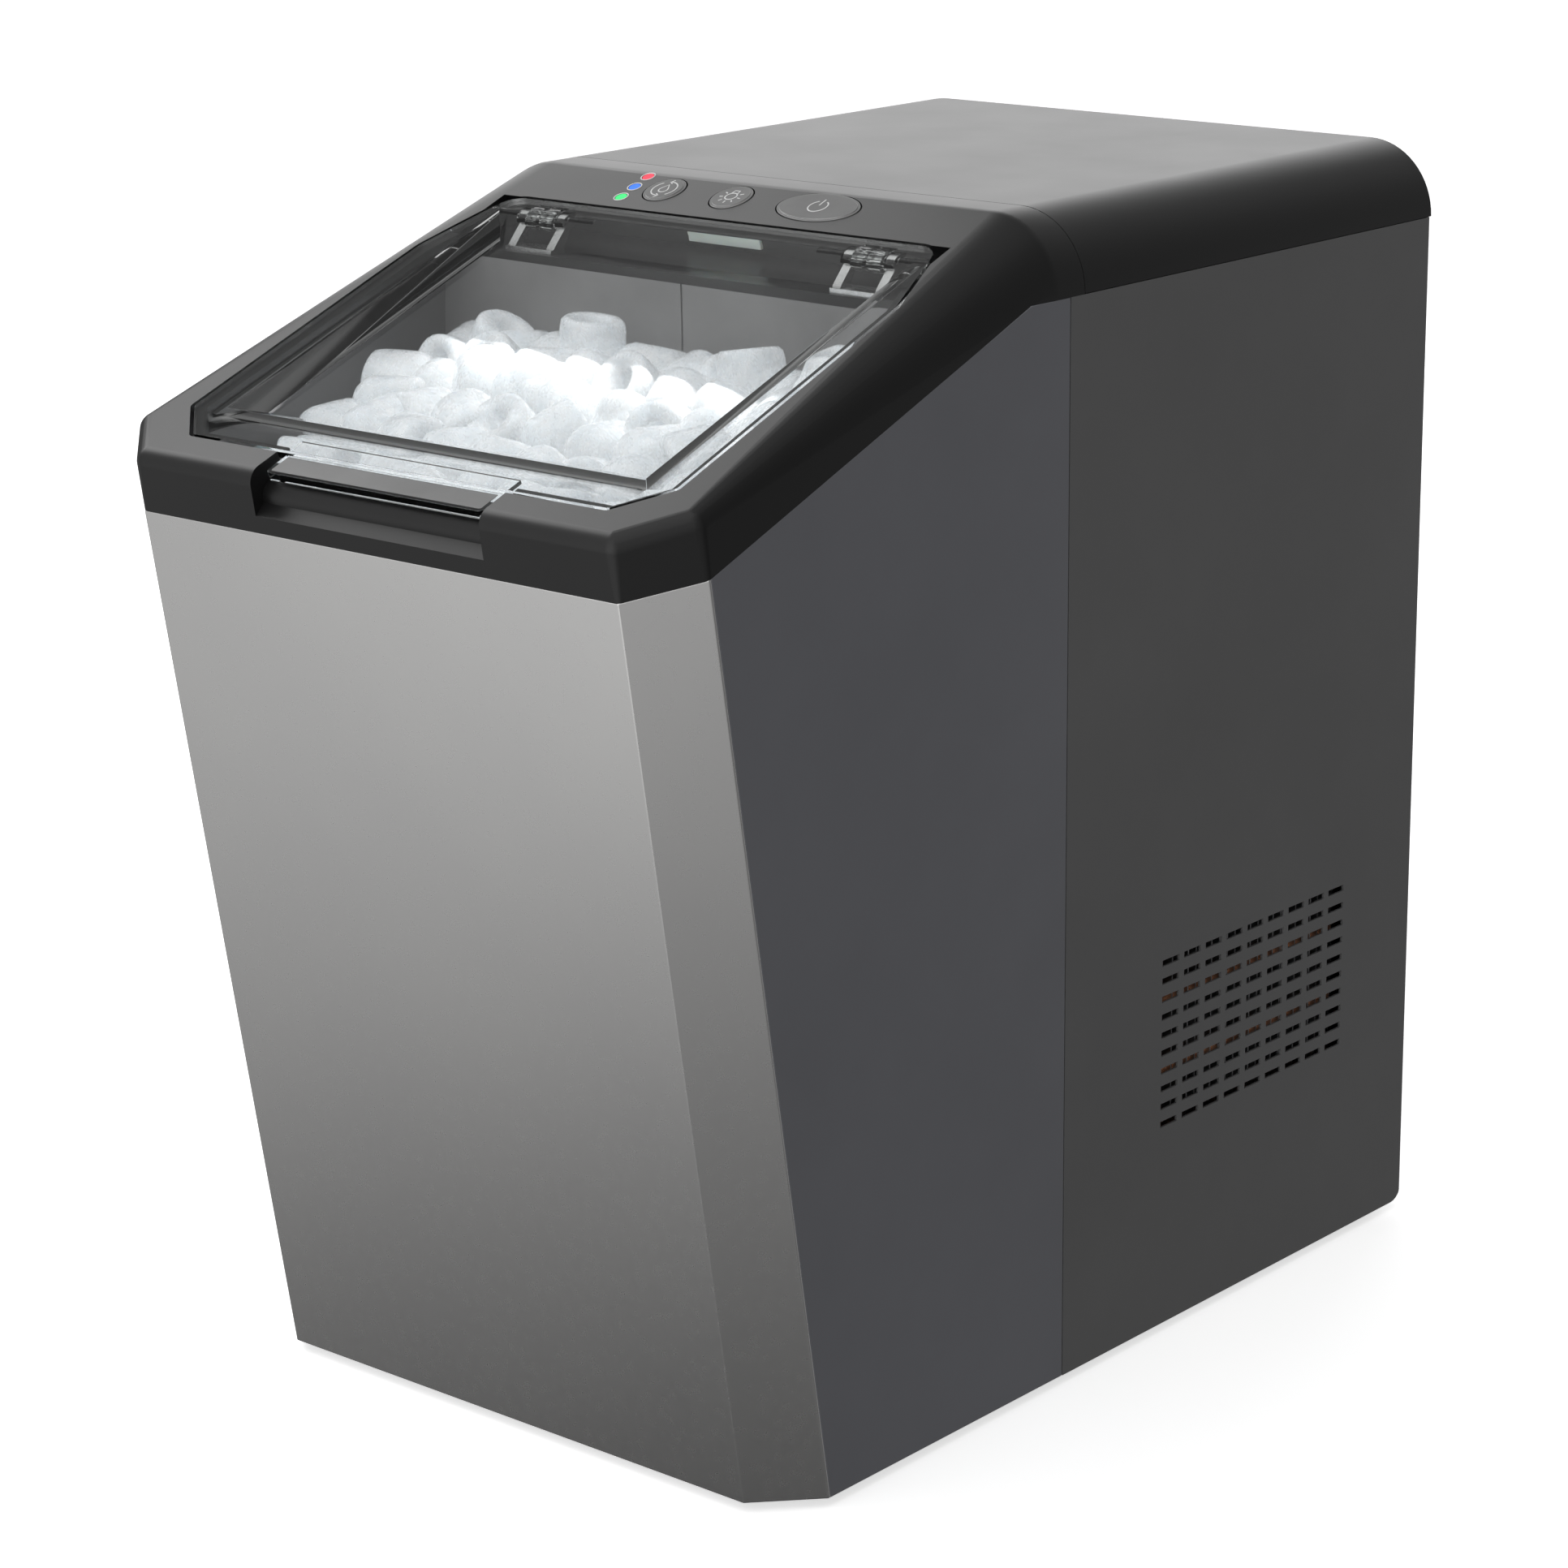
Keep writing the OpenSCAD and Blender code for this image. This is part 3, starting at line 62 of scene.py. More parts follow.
# The slope's own frame: X across, V up the slope from the nose line, W out of it
SLOPE = math.radians(20.8)
HINGE_V, HINGE_DROP = 151.2 * MM, 4.2 * MM
HINGE = Vector(next(j for j in frame["joints"] if j["name"] == "lid_hinge")["pos_m"])
TILT = Matrix.Rotation(SLOPE, 4, "X")
ON_SLOPE = Matrix.Translation(HINGE - TILT @ Vector((0, HINGE_V, -HINGE_DROP))) @ TILT
NOSE = ON_SLOPE.translation

# ---------- materials ----------

class Nodes:
    """A material's node tree with short calls for the nodes used here."""

    def __init__(self, name):
        self.material = bpy.data.materials.new(name)
        self.material.use_nodes = True
        self.tree = self.material.node_tree
        self.tree.nodes.clear()
        self.out = self.tree.nodes.new("ShaderNodeOutputMaterial")
        self.shader = self.tree.nodes.new("ShaderNodeBsdfPrincipled")
        self.link(self.shader.outputs[0], self.out.inputs[0])
        self.place = self.tree.nodes.new("ShaderNodeTexCoord").outputs["Object"]

    def link(self, a, b):
        self.tree.links.new(a, b)

    def set(self, **values):
        for name, value in values.items():
            self.shader.inputs[name.replace("_", " ").title().replace("Ior", "IOR")].default_value = value

    def scaled(self, scale):
        node = self.tree.nodes.new("ShaderNodeMapping")
        node.inputs["Scale"].default_value = scale
        self.link(self.place, node.inputs["Vector"])
        return node.outputs[0]

    def noise(self, scale, detail=4, rough=0.55, stretch=(1, 1, 1)):
        """Noise with that many features a metre, squeezed along each axis by stretch."""
        node = self.tree.nodes.new("ShaderNodeTexNoise")
        node.inputs["Scale"].default_value = scale
        node.inputs["Detail"].default_value = detail
        node.inputs["Roughness"].default_value = rough
        self.link(self.scaled(stretch), node.inputs["Vector"])
        return node.outputs[0]

    def ranged(self, value, low, high, source=(0.3, 0.7)):
        node = self.tree.nodes.new("ShaderNodeMapRange")
        node.inputs["From Min"].default_value, node.inputs["From Max"].default_value = source
        node.inputs["To Min"].default_value, node.inputs["To Max"].default_value = low, high
        self.link(value, node.inputs["Value"])
        return node.outputs[0]

    def blend(self, value, a, b, source=(0.3, 0.7)):
        """Colour from a to b as value goes over the source range."""
        node = self.tree.nodes.new("ShaderNodeValToRGB")
        for stop, at, colour in zip(node.color_ramp.elements, source, (a, b)):
            stop.position, stop.color = at, (*colour, 1)
        self.link(value, node.inputs[0])
        return node.outputs[0]

    def colour(self, value, a, b, source=(0.3, 0.7)):
        self.link(self.blend(value, a, b, source), self.shader.inputs["Base Color"])

    def roughness(self, value, low, high):
        self.link(self.ranged(value, low, high), self.shader.inputs["Roughness"])

    def bump(self, value, strength, depth):
        node = self.tree.nodes.new("ShaderNodeBump")
        node.inputs["Strength"].default_value = strength
        node.inputs["Distance"].default_value = depth
        self.link(value, node.inputs["Height"])
        self.link(node.outputs[0], self.shader.inputs["Normal"])

    def lets_lamps_through(self):
        """Shadow and diffuse rays pass straight through, so that what is behind is lit."""
        clear = self.tree.nodes.new("ShaderNodeBsdfTransparent")
        path = self.tree.nodes.new("ShaderNodeLightPath")
        either = self.tree.nodes.new("ShaderNodeMath")
        either.operation = "MAXIMUM"
        mix = self.tree.nodes.new("ShaderNodeMixShader")
        self.link(path.outputs["Is Shadow Ray"], either.inputs[0])
        self.link(path.outputs["Is Diffuse Ray"], either.inputs[1])
        self.link(either.outputs[0], mix.inputs[0])
        self.link(self.shader.outputs[0], mix.inputs[1])
        self.link(clear.outputs[0], mix.inputs[2])
        self.link(mix.outputs[0], self.out.inputs[0])


def shade(colour, factor):
    return tuple(min(1.0, c * factor) for c in colour)


def moulded(name, colour, rough=0.4, grain=2600, depth=0.02 * MM, spread=0.12, drift=0.02, **sockets):
    """Moulded plastic: fine spark-eroded grain, slow drift in colour and gloss."""
    n = Nodes(name)
    n.colour(n.noise(35, 3), shade(colour, 1 - spread), shade(colour, 1 + spread))
    n.roughness(n.noise(25, 3), rough - drift, rough + drift)
    n.bump(n.noise(grain, 2), 0.25, depth)
    n.set(**sockets)
    return n.material


def coated_steel(name, light, dark, rough, metallic, grain, strength, drift=0.02):
    """Sheet steel with a satin coat: cloudy colour, and a fine grain where strength isn't 0."""
    n = Nodes(name)
    n.colour(n.noise(12, 5, 0.6), dark, light)
    n.roughness(n.noise(grain, 3, 0.6), rough - drift, rough + drift)
    if strength:
        n.bump(n.noise(grain * 3, 2, 0.5), strength, 0.005 * MM)
    n.set(metallic=metallic)
    return n.material


def bare_metal(name, colour, rough, stretch=(1, 1, 1), spread=0.15):
    """Bare metal with draw lines along one axis."""
    n = Nodes(name)
    n.colour(n.noise(60, 5), shade(colour, 1 - spread), shade(colour, 1 + spread))
    n.roughness(n.noise(1200, 3, 0.6, stretch), rough - 0.08, rough + 0.08)
    n.bump(n.noise(1500, 2, 0.5, stretch), 0.15, 0.01 * MM)
    n.set(metallic=1.0)
    return n.material


def clear_plastic(name, tint, rough=0.02):
    n = Nodes(name)
    n.colour(n.noise(40, 2), shade(tint, 0.985), tint)
    n.roughness(n.noise(300, 2), rough, rough + 0.02)
    n.bump(n.noise(45, 2), 0.04, 0.05 * MM)
    n.set(transmission_weight=1.0, ior=1.49, specular_ior_level=0.25)
    n.lets_lamps_through()
    return n.material


def lamp_lens(name, colour, glow):
    n = Nodes(name)
    spots = n.noise(500, 2)
    n.colour(spots, shade(colour, 0.9), colour)
    n.roughness(spots, 0.12, 0.2)
    n.set(emission_color=(*colour, 1), emission_strength=glow)
    return n.material


def ice_material():
    """Cloudy ice: a white frosted core under a wet, clear skin, with a faint painted glow from its emission.
    """
    n = Nodes("ice")
    frost = n.noise(160, 6, 0.7)
    n.colour(frost, (0.8, 0.85, 0.89), (0.97, 0.985, 1.0), (0.35, 0.6))
    n.roughness(n.noise(420, 5, 0.7), 0.08, 0.5)
    n.bump(n.noise(260, 6, 0.7), 0.55, 0.5 * MM)
    # painted glow: the emission makes the ice shine faintly as if lit, though ice is no lamp
    n.set(subsurface_weight=0.3, subsurface_scale=0.004, transmission_weight=0.42, ior=1.31,
          coat_weight=0.6, coat_roughness=0.05, emission_color=(0.9, 0.95, 1, 1), emission_strength=0.25)
    n.shader.inputs["Subsurface Radius"].default_value = (1, 1.1, 1.2)
    n.lets_lamps_through()
    return n.material


def circuit_board():
    """Solder mask with tracks that follow a square cell pattern."""
    n = Nodes("circuit_board")
    cells = n.tree.nodes.new("ShaderNodeTexVoronoi")
    cells.distance, cells.feature = "MANHATTAN", "DISTANCE_TO_EDGE"
    cells.inputs["Scale"].default_value = 260
    n.link(n.place, cells.inputs["Vector"])
    n.colour(cells.outputs[0], (0.16, 0.3, 0.1), (0.01, 0.09, 0.03), (0.05, 0.12))
    n.roughness(n.noise(300), 0.25, 0.4)
    n.bump(cells.outputs[0], 0.3, 0.05 * MM)
    return n.material


def foam():
    n = Nodes("foam")
    cells = n.noise(900, 8, 0.7)
    n.colour(cells, (0.62, 0.55, 0.38), (0.86, 0.8, 0.62))
    n.roughness(cells, 0.8, 0.95)
    n.bump(cells, 0.7, 0.6 * MM)
    return n.material


def floor_material():
    n = Nodes("floor")
    n.colour(n.noise(3, 2), (0.93, 0.93, 0.93), (0.95, 0.95, 0.95))
    n.roughness(n.noise(20, 3), 0.6, 0.7)
    n.set(emission_color=(1, 1, 1, 1), emission_strength=0.65)
    return n.material


LEDGE_SHADE_Z = 322.5 * MM       # painted shade: the liner is coloured near black above this height, where the ledge lies in shadow


def liner_material():
    """Grey moulding with painted shade: it goes to near black over the ledge under the hinge, where the ledge
    lies in shadow.
    """
    n = Nodes("tank_liner")
    axes = n.tree.nodes.new("ShaderNodeSeparateXYZ")
    n.link(n.place, axes.inputs[0])
    # painted shade: the colour turns near black above the ledge's height, standing in for its shadow
    dark = n.ranged(axes.outputs[2], 0, 1, (LEDGE_SHADE_Z - 1 * MM, LEDGE_SHADE_Z + 1 * MM))
    n.colour(dark, (0.24, 0.24, 0.245), (0.022, 0.022, 0.023), (0.1, 0.9))
    n.roughness(n.noise(60, 4), 0.36, 0.44)
    n.bump(n.noise(1800, 2), 0.25, 0.04 * MM)
    return n.material


def materials():
    across_x = (1, 40, 40)
    along_y = (40, 1, 40)
    return {
        "satin_steel": coated_steel("satin_steel", (0.8, 0.795, 0.785), (0.77, 0.765, 0.76), 0.27, 1.0,
                                    320, 0, drift=0.006),
        "charcoal_steel": coated_steel("charcoal_steel", (0.27, 0.274, 0.3), (0.245, 0.249, 0.272),
                                       0.45, 0.4, 1500, 0.2),
        "rear_wrap": coated_steel("graphite_steel", (0.21, 0.21, 0.211), (0.19, 0.19, 0.191),
                                  0.5, 0.3, 1500, 0.2),
        "black_satin": moulded("black_satin", (0.008, 0.008, 0.0082), 0.36, 3200, 0.012 * MM, 0.06, 0.012),
        "clear_lid": clear_plastic("clear_lid", (0.97, 0.985, 0.98)),
        "bright_steel": bare_metal("bright_steel", (0.66, 0.66, 0.66), 0.25, across_x),
        "button_grey": moulded("button_grey", (0.32, 0.32, 0.32), 0.3, 3500, 0.01 * MM, metallic=0.5,
                               coat_weight=0.25, coat_roughness=0.1),
        "red_lens": lamp_lens("red_lens", (0.9, 0.08, 0.12), 0.7),
        "blue_lens": lamp_lens("blue_lens", (0.06, 0.2, 0.9), 0.7),
        "green_lens": lamp_lens("green_lens", (0.06, 0.75, 0.2), 0.8),
        "board_green": circuit_board(),
        "ivory_lens": moulded("ivory_lens", (0.8, 0.78, 0.7), 0.3, subsurface_weight=0.3),
        "grey_liner": moulded("grey_liner", (0.34, 0.34, 0.345), 0.4, 1800, 0.04 * MM, 0.14),
        "tank_liner": liner_material(),
        "white_foam": foam(),
        "frosted_basket": moulded("frosted_basket", (0.62, 0.65, 0.68), 0.35, subsurface_weight=0.4),
        "white_plastic": moulded("white_plastic", (0.72, 0.72, 0.72), 0.4),
        "copper": bare_metal("copper", (0.72, 0.32, 0.17), 0.28, along_y, 0.25),
        "rubber_black": moulded("rubber_black", (0.012, 0.012, 0.012), 0.75, 900, 0.08 * MM),
        "compressor_black": moulded("compressor_black", (0.008, 0.008, 0.009), 0.2, 400, 0.06 * MM,
                                    coat_weight=0.8),
        "fin_aluminium": bare_metal("fin_aluminium", (0.75, 0.76, 0.77), 0.35, (40, 40, 1)),
        "valve_brass": bare_metal("valve_brass", (0.62, 0.42, 0.15), 0.3),
        "dark_plastic": moulded("dark_plastic", (0.022, 0.022, 0.023), 0.5),
    }


# ---------- CAD nodes ----------

WELD = 0.004 * MM
SHARP = math.radians(30)        # edges that turn more than this are rounded


def dress(node, material, bevel):
    """Gives a CAD node its material, and rounds its edges with modifiers where bevel isn't 0."""
    obj = NODES[node]
    if not obj.material_slots:
        obj.data.materials.append(material)
    for slot in obj.material_slots:
        slot.material = material
    weld = obj.modifiers.new("weld", "WELD")
    weld.merge_threshold = WELD
    if bevel:
        flat = obj.modifiers.new("flat", "DECIMATE")
        flat.decimate_type, flat.angle_limit = "DISSOLVE", math.radians(0.3)
        edge = obj.modifiers.new("edge", "BEVEL")
        edge.width, edge.segments, edge.limit_method = bevel, 3, "ANGLE"
        edge.angle_limit, edge.miter_outer = SHARP, "MITER_ARC"
        edge.use_clamp_overlap = True
    normals = obj.modifiers.new("normals", "WEIGHTED_NORMAL")
    normals.keep_sharp = not bevel


# Edge rounding of each node, mm
BEVELS = {
    "front_panel": 0.5, "left_side_panel": 0.25, "right_side_panel": 0.25,
    "front_bezel": 0.8, "top_cover": 0.6, "lid": 0.5, "power_button": 0.25, "light_button": 0.25,
    "clean_button": 0.25, "drain_cap": 0.5, "rubber_feet": 0.6, "cord_gland": 0.5,
    "hinge_brackets": 0.2, "hinge_pins": 0.2, "chamber_cover": 0.2, "chamber_lamp": 0.3, "base_tray": 0.3,
}


def dress_all(mats):
    for row in frame["record"]["subparts"]:
        node = row["node"]
        dress(node, mats.get(node, mats[row["material_slot"]]), BEVELS.get(node, 0) * MM)


# ---------- mesh helpers ----------

def new_piece(name, mesh_builder, material, body):
    """A named piece from a filled bmesh, riding on a CAD body."""
    bm = bmesh.new()
    mesh_builder(bm)
    bmesh.ops.recalc_face_normals(bm, faces=bm.faces)
    mesh = bpy.data.meshes.new(name)
    bm.to_mesh(mesh)
    bm.free()
    mesh.materials.append(material)
    obj = bpy.data.objects.new(name, mesh)
    bpy.context.scene.collection.objects.link(obj)
    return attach(obj, body)


def add_prism(bm, outline, low, high, matrix):
    """A closed prism over a flat outline, from low to high along the outline's normal."""
    bottom = [bm.verts.new(matrix @ Vector((x, y, low))) for x, y in outline]
    top = [bm.verts.new(matrix @ Vector((x, y, high))) for x, y in outline]
    bm.faces.new(bottom[::-1])
    bm.faces.new(top)
    for i in range(len(outline)):
        j = (i + 1) % len(outline)
        bm.faces.new((bottom[i], bottom[j], top[j], top[i]))


def add_stroke(bm, points, width, low, high, matrix, closed=False):
    """A line of even width through flat points, as one closed band."""
    points = [Vector(p) for p in points]
    count = len(points)

    def side(i, sign):
        a = points[(i - 1) % count if closed else max(i - 1, 0)]
        b = points[(i + 1) % count if closed else min(i + 1, count - 1)]
        along = (b - a).normalized()
        return points[i] + sign * width / 2 * Vector((-along.y, along.x))

    rings = [[bm.verts.new(matrix @ Vector((*side(i, s), w))) for s, w in
              ((-1, low), (1, low), (1, high), (-1, high))] for i in range(count)]
    for i in range(count if closed else count - 1):
        a, b = rings[i], rings[(i + 1) % count]
        for k in range(4):
            bm.faces.new((a[k], a[(k + 1) % 4], b[(k + 1) % 4], b[k]))
    if not closed:
        bm.faces.new(rings[0])
        bm.faces.new(rings[-1][::-1])


def arc(radius, start, end, centre=(0, 0), steps=28):
    """Points on an arc, angles in degrees from the X axis."""
    return [(centre[0] + radius * math.cos(math.radians(start + (end - start) * i / steps)),
             centre[1] + radius * math.sin(math.radians(start + (end - start) * i / steps)))
            for i in range(steps + 1)]


def add_lathe(bm, profile, segments, matrix, wobble=None):
    """Turns a profile of (radius, height) points about Z; ends on the axis close it."""
    rings = []
    for k, (r, z) in enumerate(profile):
        if r == 0:
            rings.append([bm.verts.new(matrix @ Vector((0, 0, z)))])
            continue
        ring = []
        for i in range(segments):
            a = 2 * math.pi * i / segments
            d = r * (1 + (wobble(a, k) if wobble else 0))
            ring.append(bm.verts.new(matrix @ Vector((d * math.cos(a), d * math.sin(a), z))))
        rings.append(ring)
    for a, b in zip(rings, rings[1:]):
        for i in range(segments):
            j = (i + 1) % segments
            corners = [a[i % len(a)], a[j % len(a)], b[j % len(b)], b[i % len(b)]]
            unique = list(dict.fromkeys(corners))
            if len(unique) > 2:
                bm.faces.new(unique)


def smooth(obj):
    obj.data.polygons.foreach_set("use_smooth", [True] * len(obj.data.polygons))
    return obj


# ---------- controls ----------

BUTTON_V = 170.76 * MM
BUTTON_TOP = 0.45 * MM
ICON_LIFT = 0.05 * MM
LINE = 0.42 * MM
BUTTON_X = {"clean": -31.6 * MM, "light": -5.3 * MM, "power": 28 * MM}
LENS_X, LENS_PITCH, LENS_R = -43.7 * MM, 6.5 * MM, 1.8 * MM


def icon_material():
    return moulded("icon_white", (0.86, 0.86, 0.86), 0.35, spread=0.03)


def icon(name, strokes, material):
    """Raised lines on a button's cap; each stroke is (points, closed) in metres."""
    at = ON_SLOPE @ Matrix.Translation((BUTTON_X[name], BUTTON_V, 0))

    def build(bm):
        for points, closed in strokes:
            add_stroke(bm, points, LINE, BUTTON_TOP - 0.02 * MM, BUTTON_TOP + ICON_LIFT, at, closed)

    return new_piece(f"{name}_icon", build, material, f"{name}_button")


def power_icon(material):
    r = 3.1 * MM
    icon("power", [(arc(r, 118, 422), False), ([(0, 0.6 * MM), (0, r + 0.9 * MM)], False)], material)


def light_icon(material):
    r = 1.9 * MM
    ray_from, ray_to = 2.8 * MM, 4 * MM
    turns = [math.radians(t) for t in range(150, 400, 40)]
    rays = [([(math.cos(a) * d, math.sin(a) * d) for d in (ray_from, ray_to)], False) for a in turns]
    socket = [(-1.1 * MM, r * 0.9), (-0.9 * MM, r + 1.5 * MM),
              (0.9 * MM, r + 1.5 * MM), (1.1 * MM, r * 0.9)]
    icon("light", [(arc(r, 0, 347), True), (socket, False)] + rays, material)


def clean_icon(material):
    r, drop = 4.1 * MM, 1.5 * MM
    tip = [(0, 2.5 * MM)]
    heads = []
    for turn in (0, 180):
        a = math.radians(turn + 100)
        end = Vector((math.cos(a), math.sin(a))) * r
        back = Vector((math.sin(a), -math.cos(a)))
        out = Vector((math.cos(a), math.sin(a)))
        heads.append(([end + (back + out) * 1.1 * MM, end, end + (back - out) * 1.1 * MM], False))
    icon("clean", [(arc(r, -50, 100), False), (arc(r, 130, 280), False),
                   (tip + arc(drop, 150, 390, (0, -0.5 * MM)), True)] + heads, material)


def lens_rims(material):
    """A thin white ring round each indicator lens."""
    low, high = -0.05 * MM, 0.1 * MM
    profile = [(LENS_R + 0.2 * MM, low), (LENS_R + 0.25 * MM, high), (LENS_R + 0.6 * MM, high),
               (LENS_R + 0.65 * MM, low), (LENS_R + 0.2 * MM, low)]

    def build(bm):
        for i in (-1, 0, 1):
            at = ON_SLOPE @ Matrix.Translation((LENS_X, BUTTON_V + i * LENS_PITCH, 0))
            add_lathe(bm, profile, 40, at)

    new_piece("lens_rims", build, material, "cabinet")


# ---------- lid trim ----------

KNUCKLE_X, KNUCKLE_W = 63.2 * MM, 12 * MM
TAB_HALF, TAB_TOP = 42 * MM, -1.6 * MM


def hinge_bosses(material):
    """Fluted clear sleeves round the lid's hinge knuckles."""
    r, half, flutes = 3.95 * MM, KNUCKLE_W / 2 - 0.1 * MM, 14
    full, end, waist = r + 0.7 * MM, half - 0.6 * MM, 1.2 * MM
    profile = [(r, -half), (full, -end), (full, -waist), (r + 0.2 * MM, 0),
               (full, waist), (full, end), (r, half), (r, -half)]

    def fluted(a, k):
        return 0.05 * math.cos(a * flutes) if 0 < k < 6 else 0

    def build(bm):
        for s in (-1, 1):
            centre = HINGE + Vector((s * KNUCKLE_X, 0, 0))
            at = Matrix.Translation(centre) @ Matrix.Rotation(math.pi / 2, 4, "Y")
            add_lathe(bm, profile, flutes * 4, at, fluted)

    new_piece("lid_hinge_bosses", build, material, "lid")


def tab_inlay(material):
    """The flat grey strip moulded along the top of the finger tab."""
    half, v0, v1 = TAB_HALF - 1.6 * MM, 4.9 * MM, 12.2 * MM
    corner = 0.8 * MM
    outline = (arc(corner, 180, 270, (-half + corner, v0 + corner), 6)
               + arc(corner, 270, 360, (half - corner, v0 + corner), 6) + [(half, v1), (-half, v1)])

    def build(bm):
        add_prism(bm, outline, TAB_TOP + 0.01 * MM, TAB_TOP + 0.14 * MM, ON_SLOPE)

    new_piece("tab_inlay", build, material, "lid")


# ---------- ice ----------

ICE_R, ICE_L = 10.2 * MM, 23 * MM
ICE_PITCH = 17.2 * MM           # between centres, less than a piece's width
SHOWN_DEPTH = 42 * MM           # ice deeper in the heap than this is made with fewer faces
LIFT_ROOM = 4.6 * MM            # kept free for the basket's lift
LID_UNDER = 7.7 * MM            # from the slope to the lid's underside


def bin_limits():
    """Room for an ice piece's centre: half width, floor, rear limits and the front wall's line."""
    low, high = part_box("ice_basket")
    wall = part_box("chamber_cover")[0].y
    lean = math.tan(math.radians(9.27))
    inner = 2.6 * MM

    def front(z):
        return low.y + inner + (high.z - z) * lean + ICE_R * 1.02

    return {"x": high.x - 2 * MM - inner - ICE_R, "floor": low.z + inner + ICE_R, "rim": high.z,
            "rear_low": high.y - 2 * MM - inner - ICE_R, "rear_high": wall - ICE_R - 0.6 * MM, "front": front}


def ceiling(y):
    """Highest centre under the closed lid, with room for the basket's lift."""
    drop = (LID_UNDER + LIFT_ROOM + ICE_R * 1.05) / math.cos(SLOPE)
    return NOSE.z + (y - NOSE.y) * math.tan(SLOPE) - drop


def clear_of_lid(centre, turn):
    """The centre, lowered so that the piece stays under the closed lid when the basket is lifted."""
    out = ON_SLOPE.to_3x3() @ Vector((0, 0, 1))
    along = abs((turn.to_3x3() @ Vector((0, 0, 1))).dot(out))
    reach = ICE_L / 2 * along + ICE_R * 1.05 * math.sqrt(1 - min(1, along) ** 2)
    depth = (NOSE - Vector(centre)).dot(out) - LID_UNDER - LIFT_ROOM
    return Vector(centre) - Vector((0, 0, max(0, reach - depth) / out.z))


def heap_line(room, x, y):
    """Height of the heap's top centres: a little higher to the rear and in the middle."""
    level = room["rim"] + (10 + 120 * (y + 0.15)) * MM + 2.5 * MM * math.cos(x * 22)
    return min(level, ceiling(y))


def settle(rng):
    """Centres of the ice pieces, in loose layers below the heap's line, shaken apart."""
    room = bin_limits()
    drop = ICE_PITCH * 0.86
    layers = []
    for k in range(9):
        for j in range(9):
            y = room["front"](room["rim"] - k * drop) + (j + 0.5 * (k % 2)) * 0.9 * ICE_PITCH
            for i in range(10):
                x = (i - 4.5 + 0.25 * (-1) ** (j + k)) * ICE_PITCH
                z = heap_line(room, x, y) - k * drop
                rear = room["rear_high"] if z > room["rim"] + 2 * MM else room["rear_low"]
                if abs(x) <= room["x"] + 3 * MM and y <= rear + 6 * MM and z >= room["floor"] - 5 * MM:
                    layers.append([x, y, z])
    p = np.array(layers) + np.array([[rng.uniform(-1, 1) * 3 * MM for _ in range(3)] for _ in layers])
    for _ in range(24):
        gap = p[:, None, :] - p[None, :, :]
        dist = np.linalg.norm(gap, axis=2) + np.eye(len(p))
        push = np.clip(ICE_PITCH * 0.98 - dist, 0, None) / dist
        np.fill_diagonal(push, 0)
        p += 0.3 * (gap * push[:, :, None]).sum(axis=1)
        p[:, 0] = np.clip(p[:, 0], -room["x"], room["x"])
        front = np.array([room["front"](z) for z in p[:, 2]])
        rear = np.where(p[:, 2] > room["rim"] + 2 * MM, room["rear_high"], room["rear_low"])
        p[:, 1] = np.minimum(np.maximum(p[:, 1], front), rear)
        top = np.array([heap_line(room, x, y) for x, y, _ in p])
        p[:, 2] = np.maximum(np.minimum(p[:, 2], top), room["floor"])
    return p


def add_bullet(bm, rng, matrix, segments=24):
    """One piece of bullet ice: a domed cylinder, hollowed from its flat end."""
    r = ICE_R * rng.uniform(0.92, 1.0)
    half = ICE_L * rng.uniform(0.42, 0.5)
    bore = r * rng.uniform(0.38, 0.55)
    depth = half * rng.uniform(0.9, 1.4)
    dome = [(r * math.cos(t), half - r * 0.7 + r * 0.7 * math.sin(t)) for t in
            (math.radians(d) for d in (5, 25, 45, 62, 78))]
    end = -half + depth
    profile = ([(0, end + bore * 0.5), (bore * 0.6, end + bore * 0.25), (bore * 0.9, end),
                (bore, -half + 1.5 * MM), (bore + 0.8 * MM, -half + 0.2 * MM), (r - 1.4 * MM, -half),
                (r - 0.3 * MM, -half + 0.9 * MM), (r, -half + 2.5 * MM), (r * 1.01, -half * 0.3)]
               + dome + [(0, half)])
    phase, lump = rng.uniform(0, 6), rng.uniform(0.01, 0.03)
    add_lathe(bm, profile, segments, matrix,
              lambda a, k: lump * (math.sin(2 * a + phase + 0.3 * k) + 0.5 * math.sin(5 * a + 2 * phase)))


def ice_heap(material):
    rng = random.Random(11)
    centres = settle(rng)
    shown = max(centres[:, 2]) - SHOWN_DEPTH

    def build(bm):
        for c in centres:
            angles = [rng.uniform(0, 6.28) for _ in range(3)]
            turn = Euler(angles).to_matrix().to_4x4()
            place = Matrix.Translation(clear_of_lid(c, turn))
            add_bullet(bm, rng, place @ turn, 24 if c[2] > shown else 10)

    smooth(new_piece("ice_heap", build, material, "basket"))


def standing_ice(material):
    """Pieces that stand against the chamber's rear wall, above the heap."""
    rng = random.Random(5)
    room = bin_limits()
    y, rim = room["rear_high"], room["rim"]
    stands = [(-25, 31, 4), (20, 22, 62), (37, 27, -10), (66, 26, 5), (-63, 23, 30)]

    def build(bm):
        for x, up, lean in stands:
            turn = Matrix.Rotation(math.radians(lean), 4, "Y") @ Matrix.Rotation(math.pi, 4, "X")
            place = clear_of_lid((x * MM, y - 0.4 * MM, rim + up * MM), turn)
            add_bullet(bm, rng, Matrix.Translation(place) @ turn, 32)

    smooth(new_piece("standing_ice", build, material, "basket"))


# ---------- stage ----------

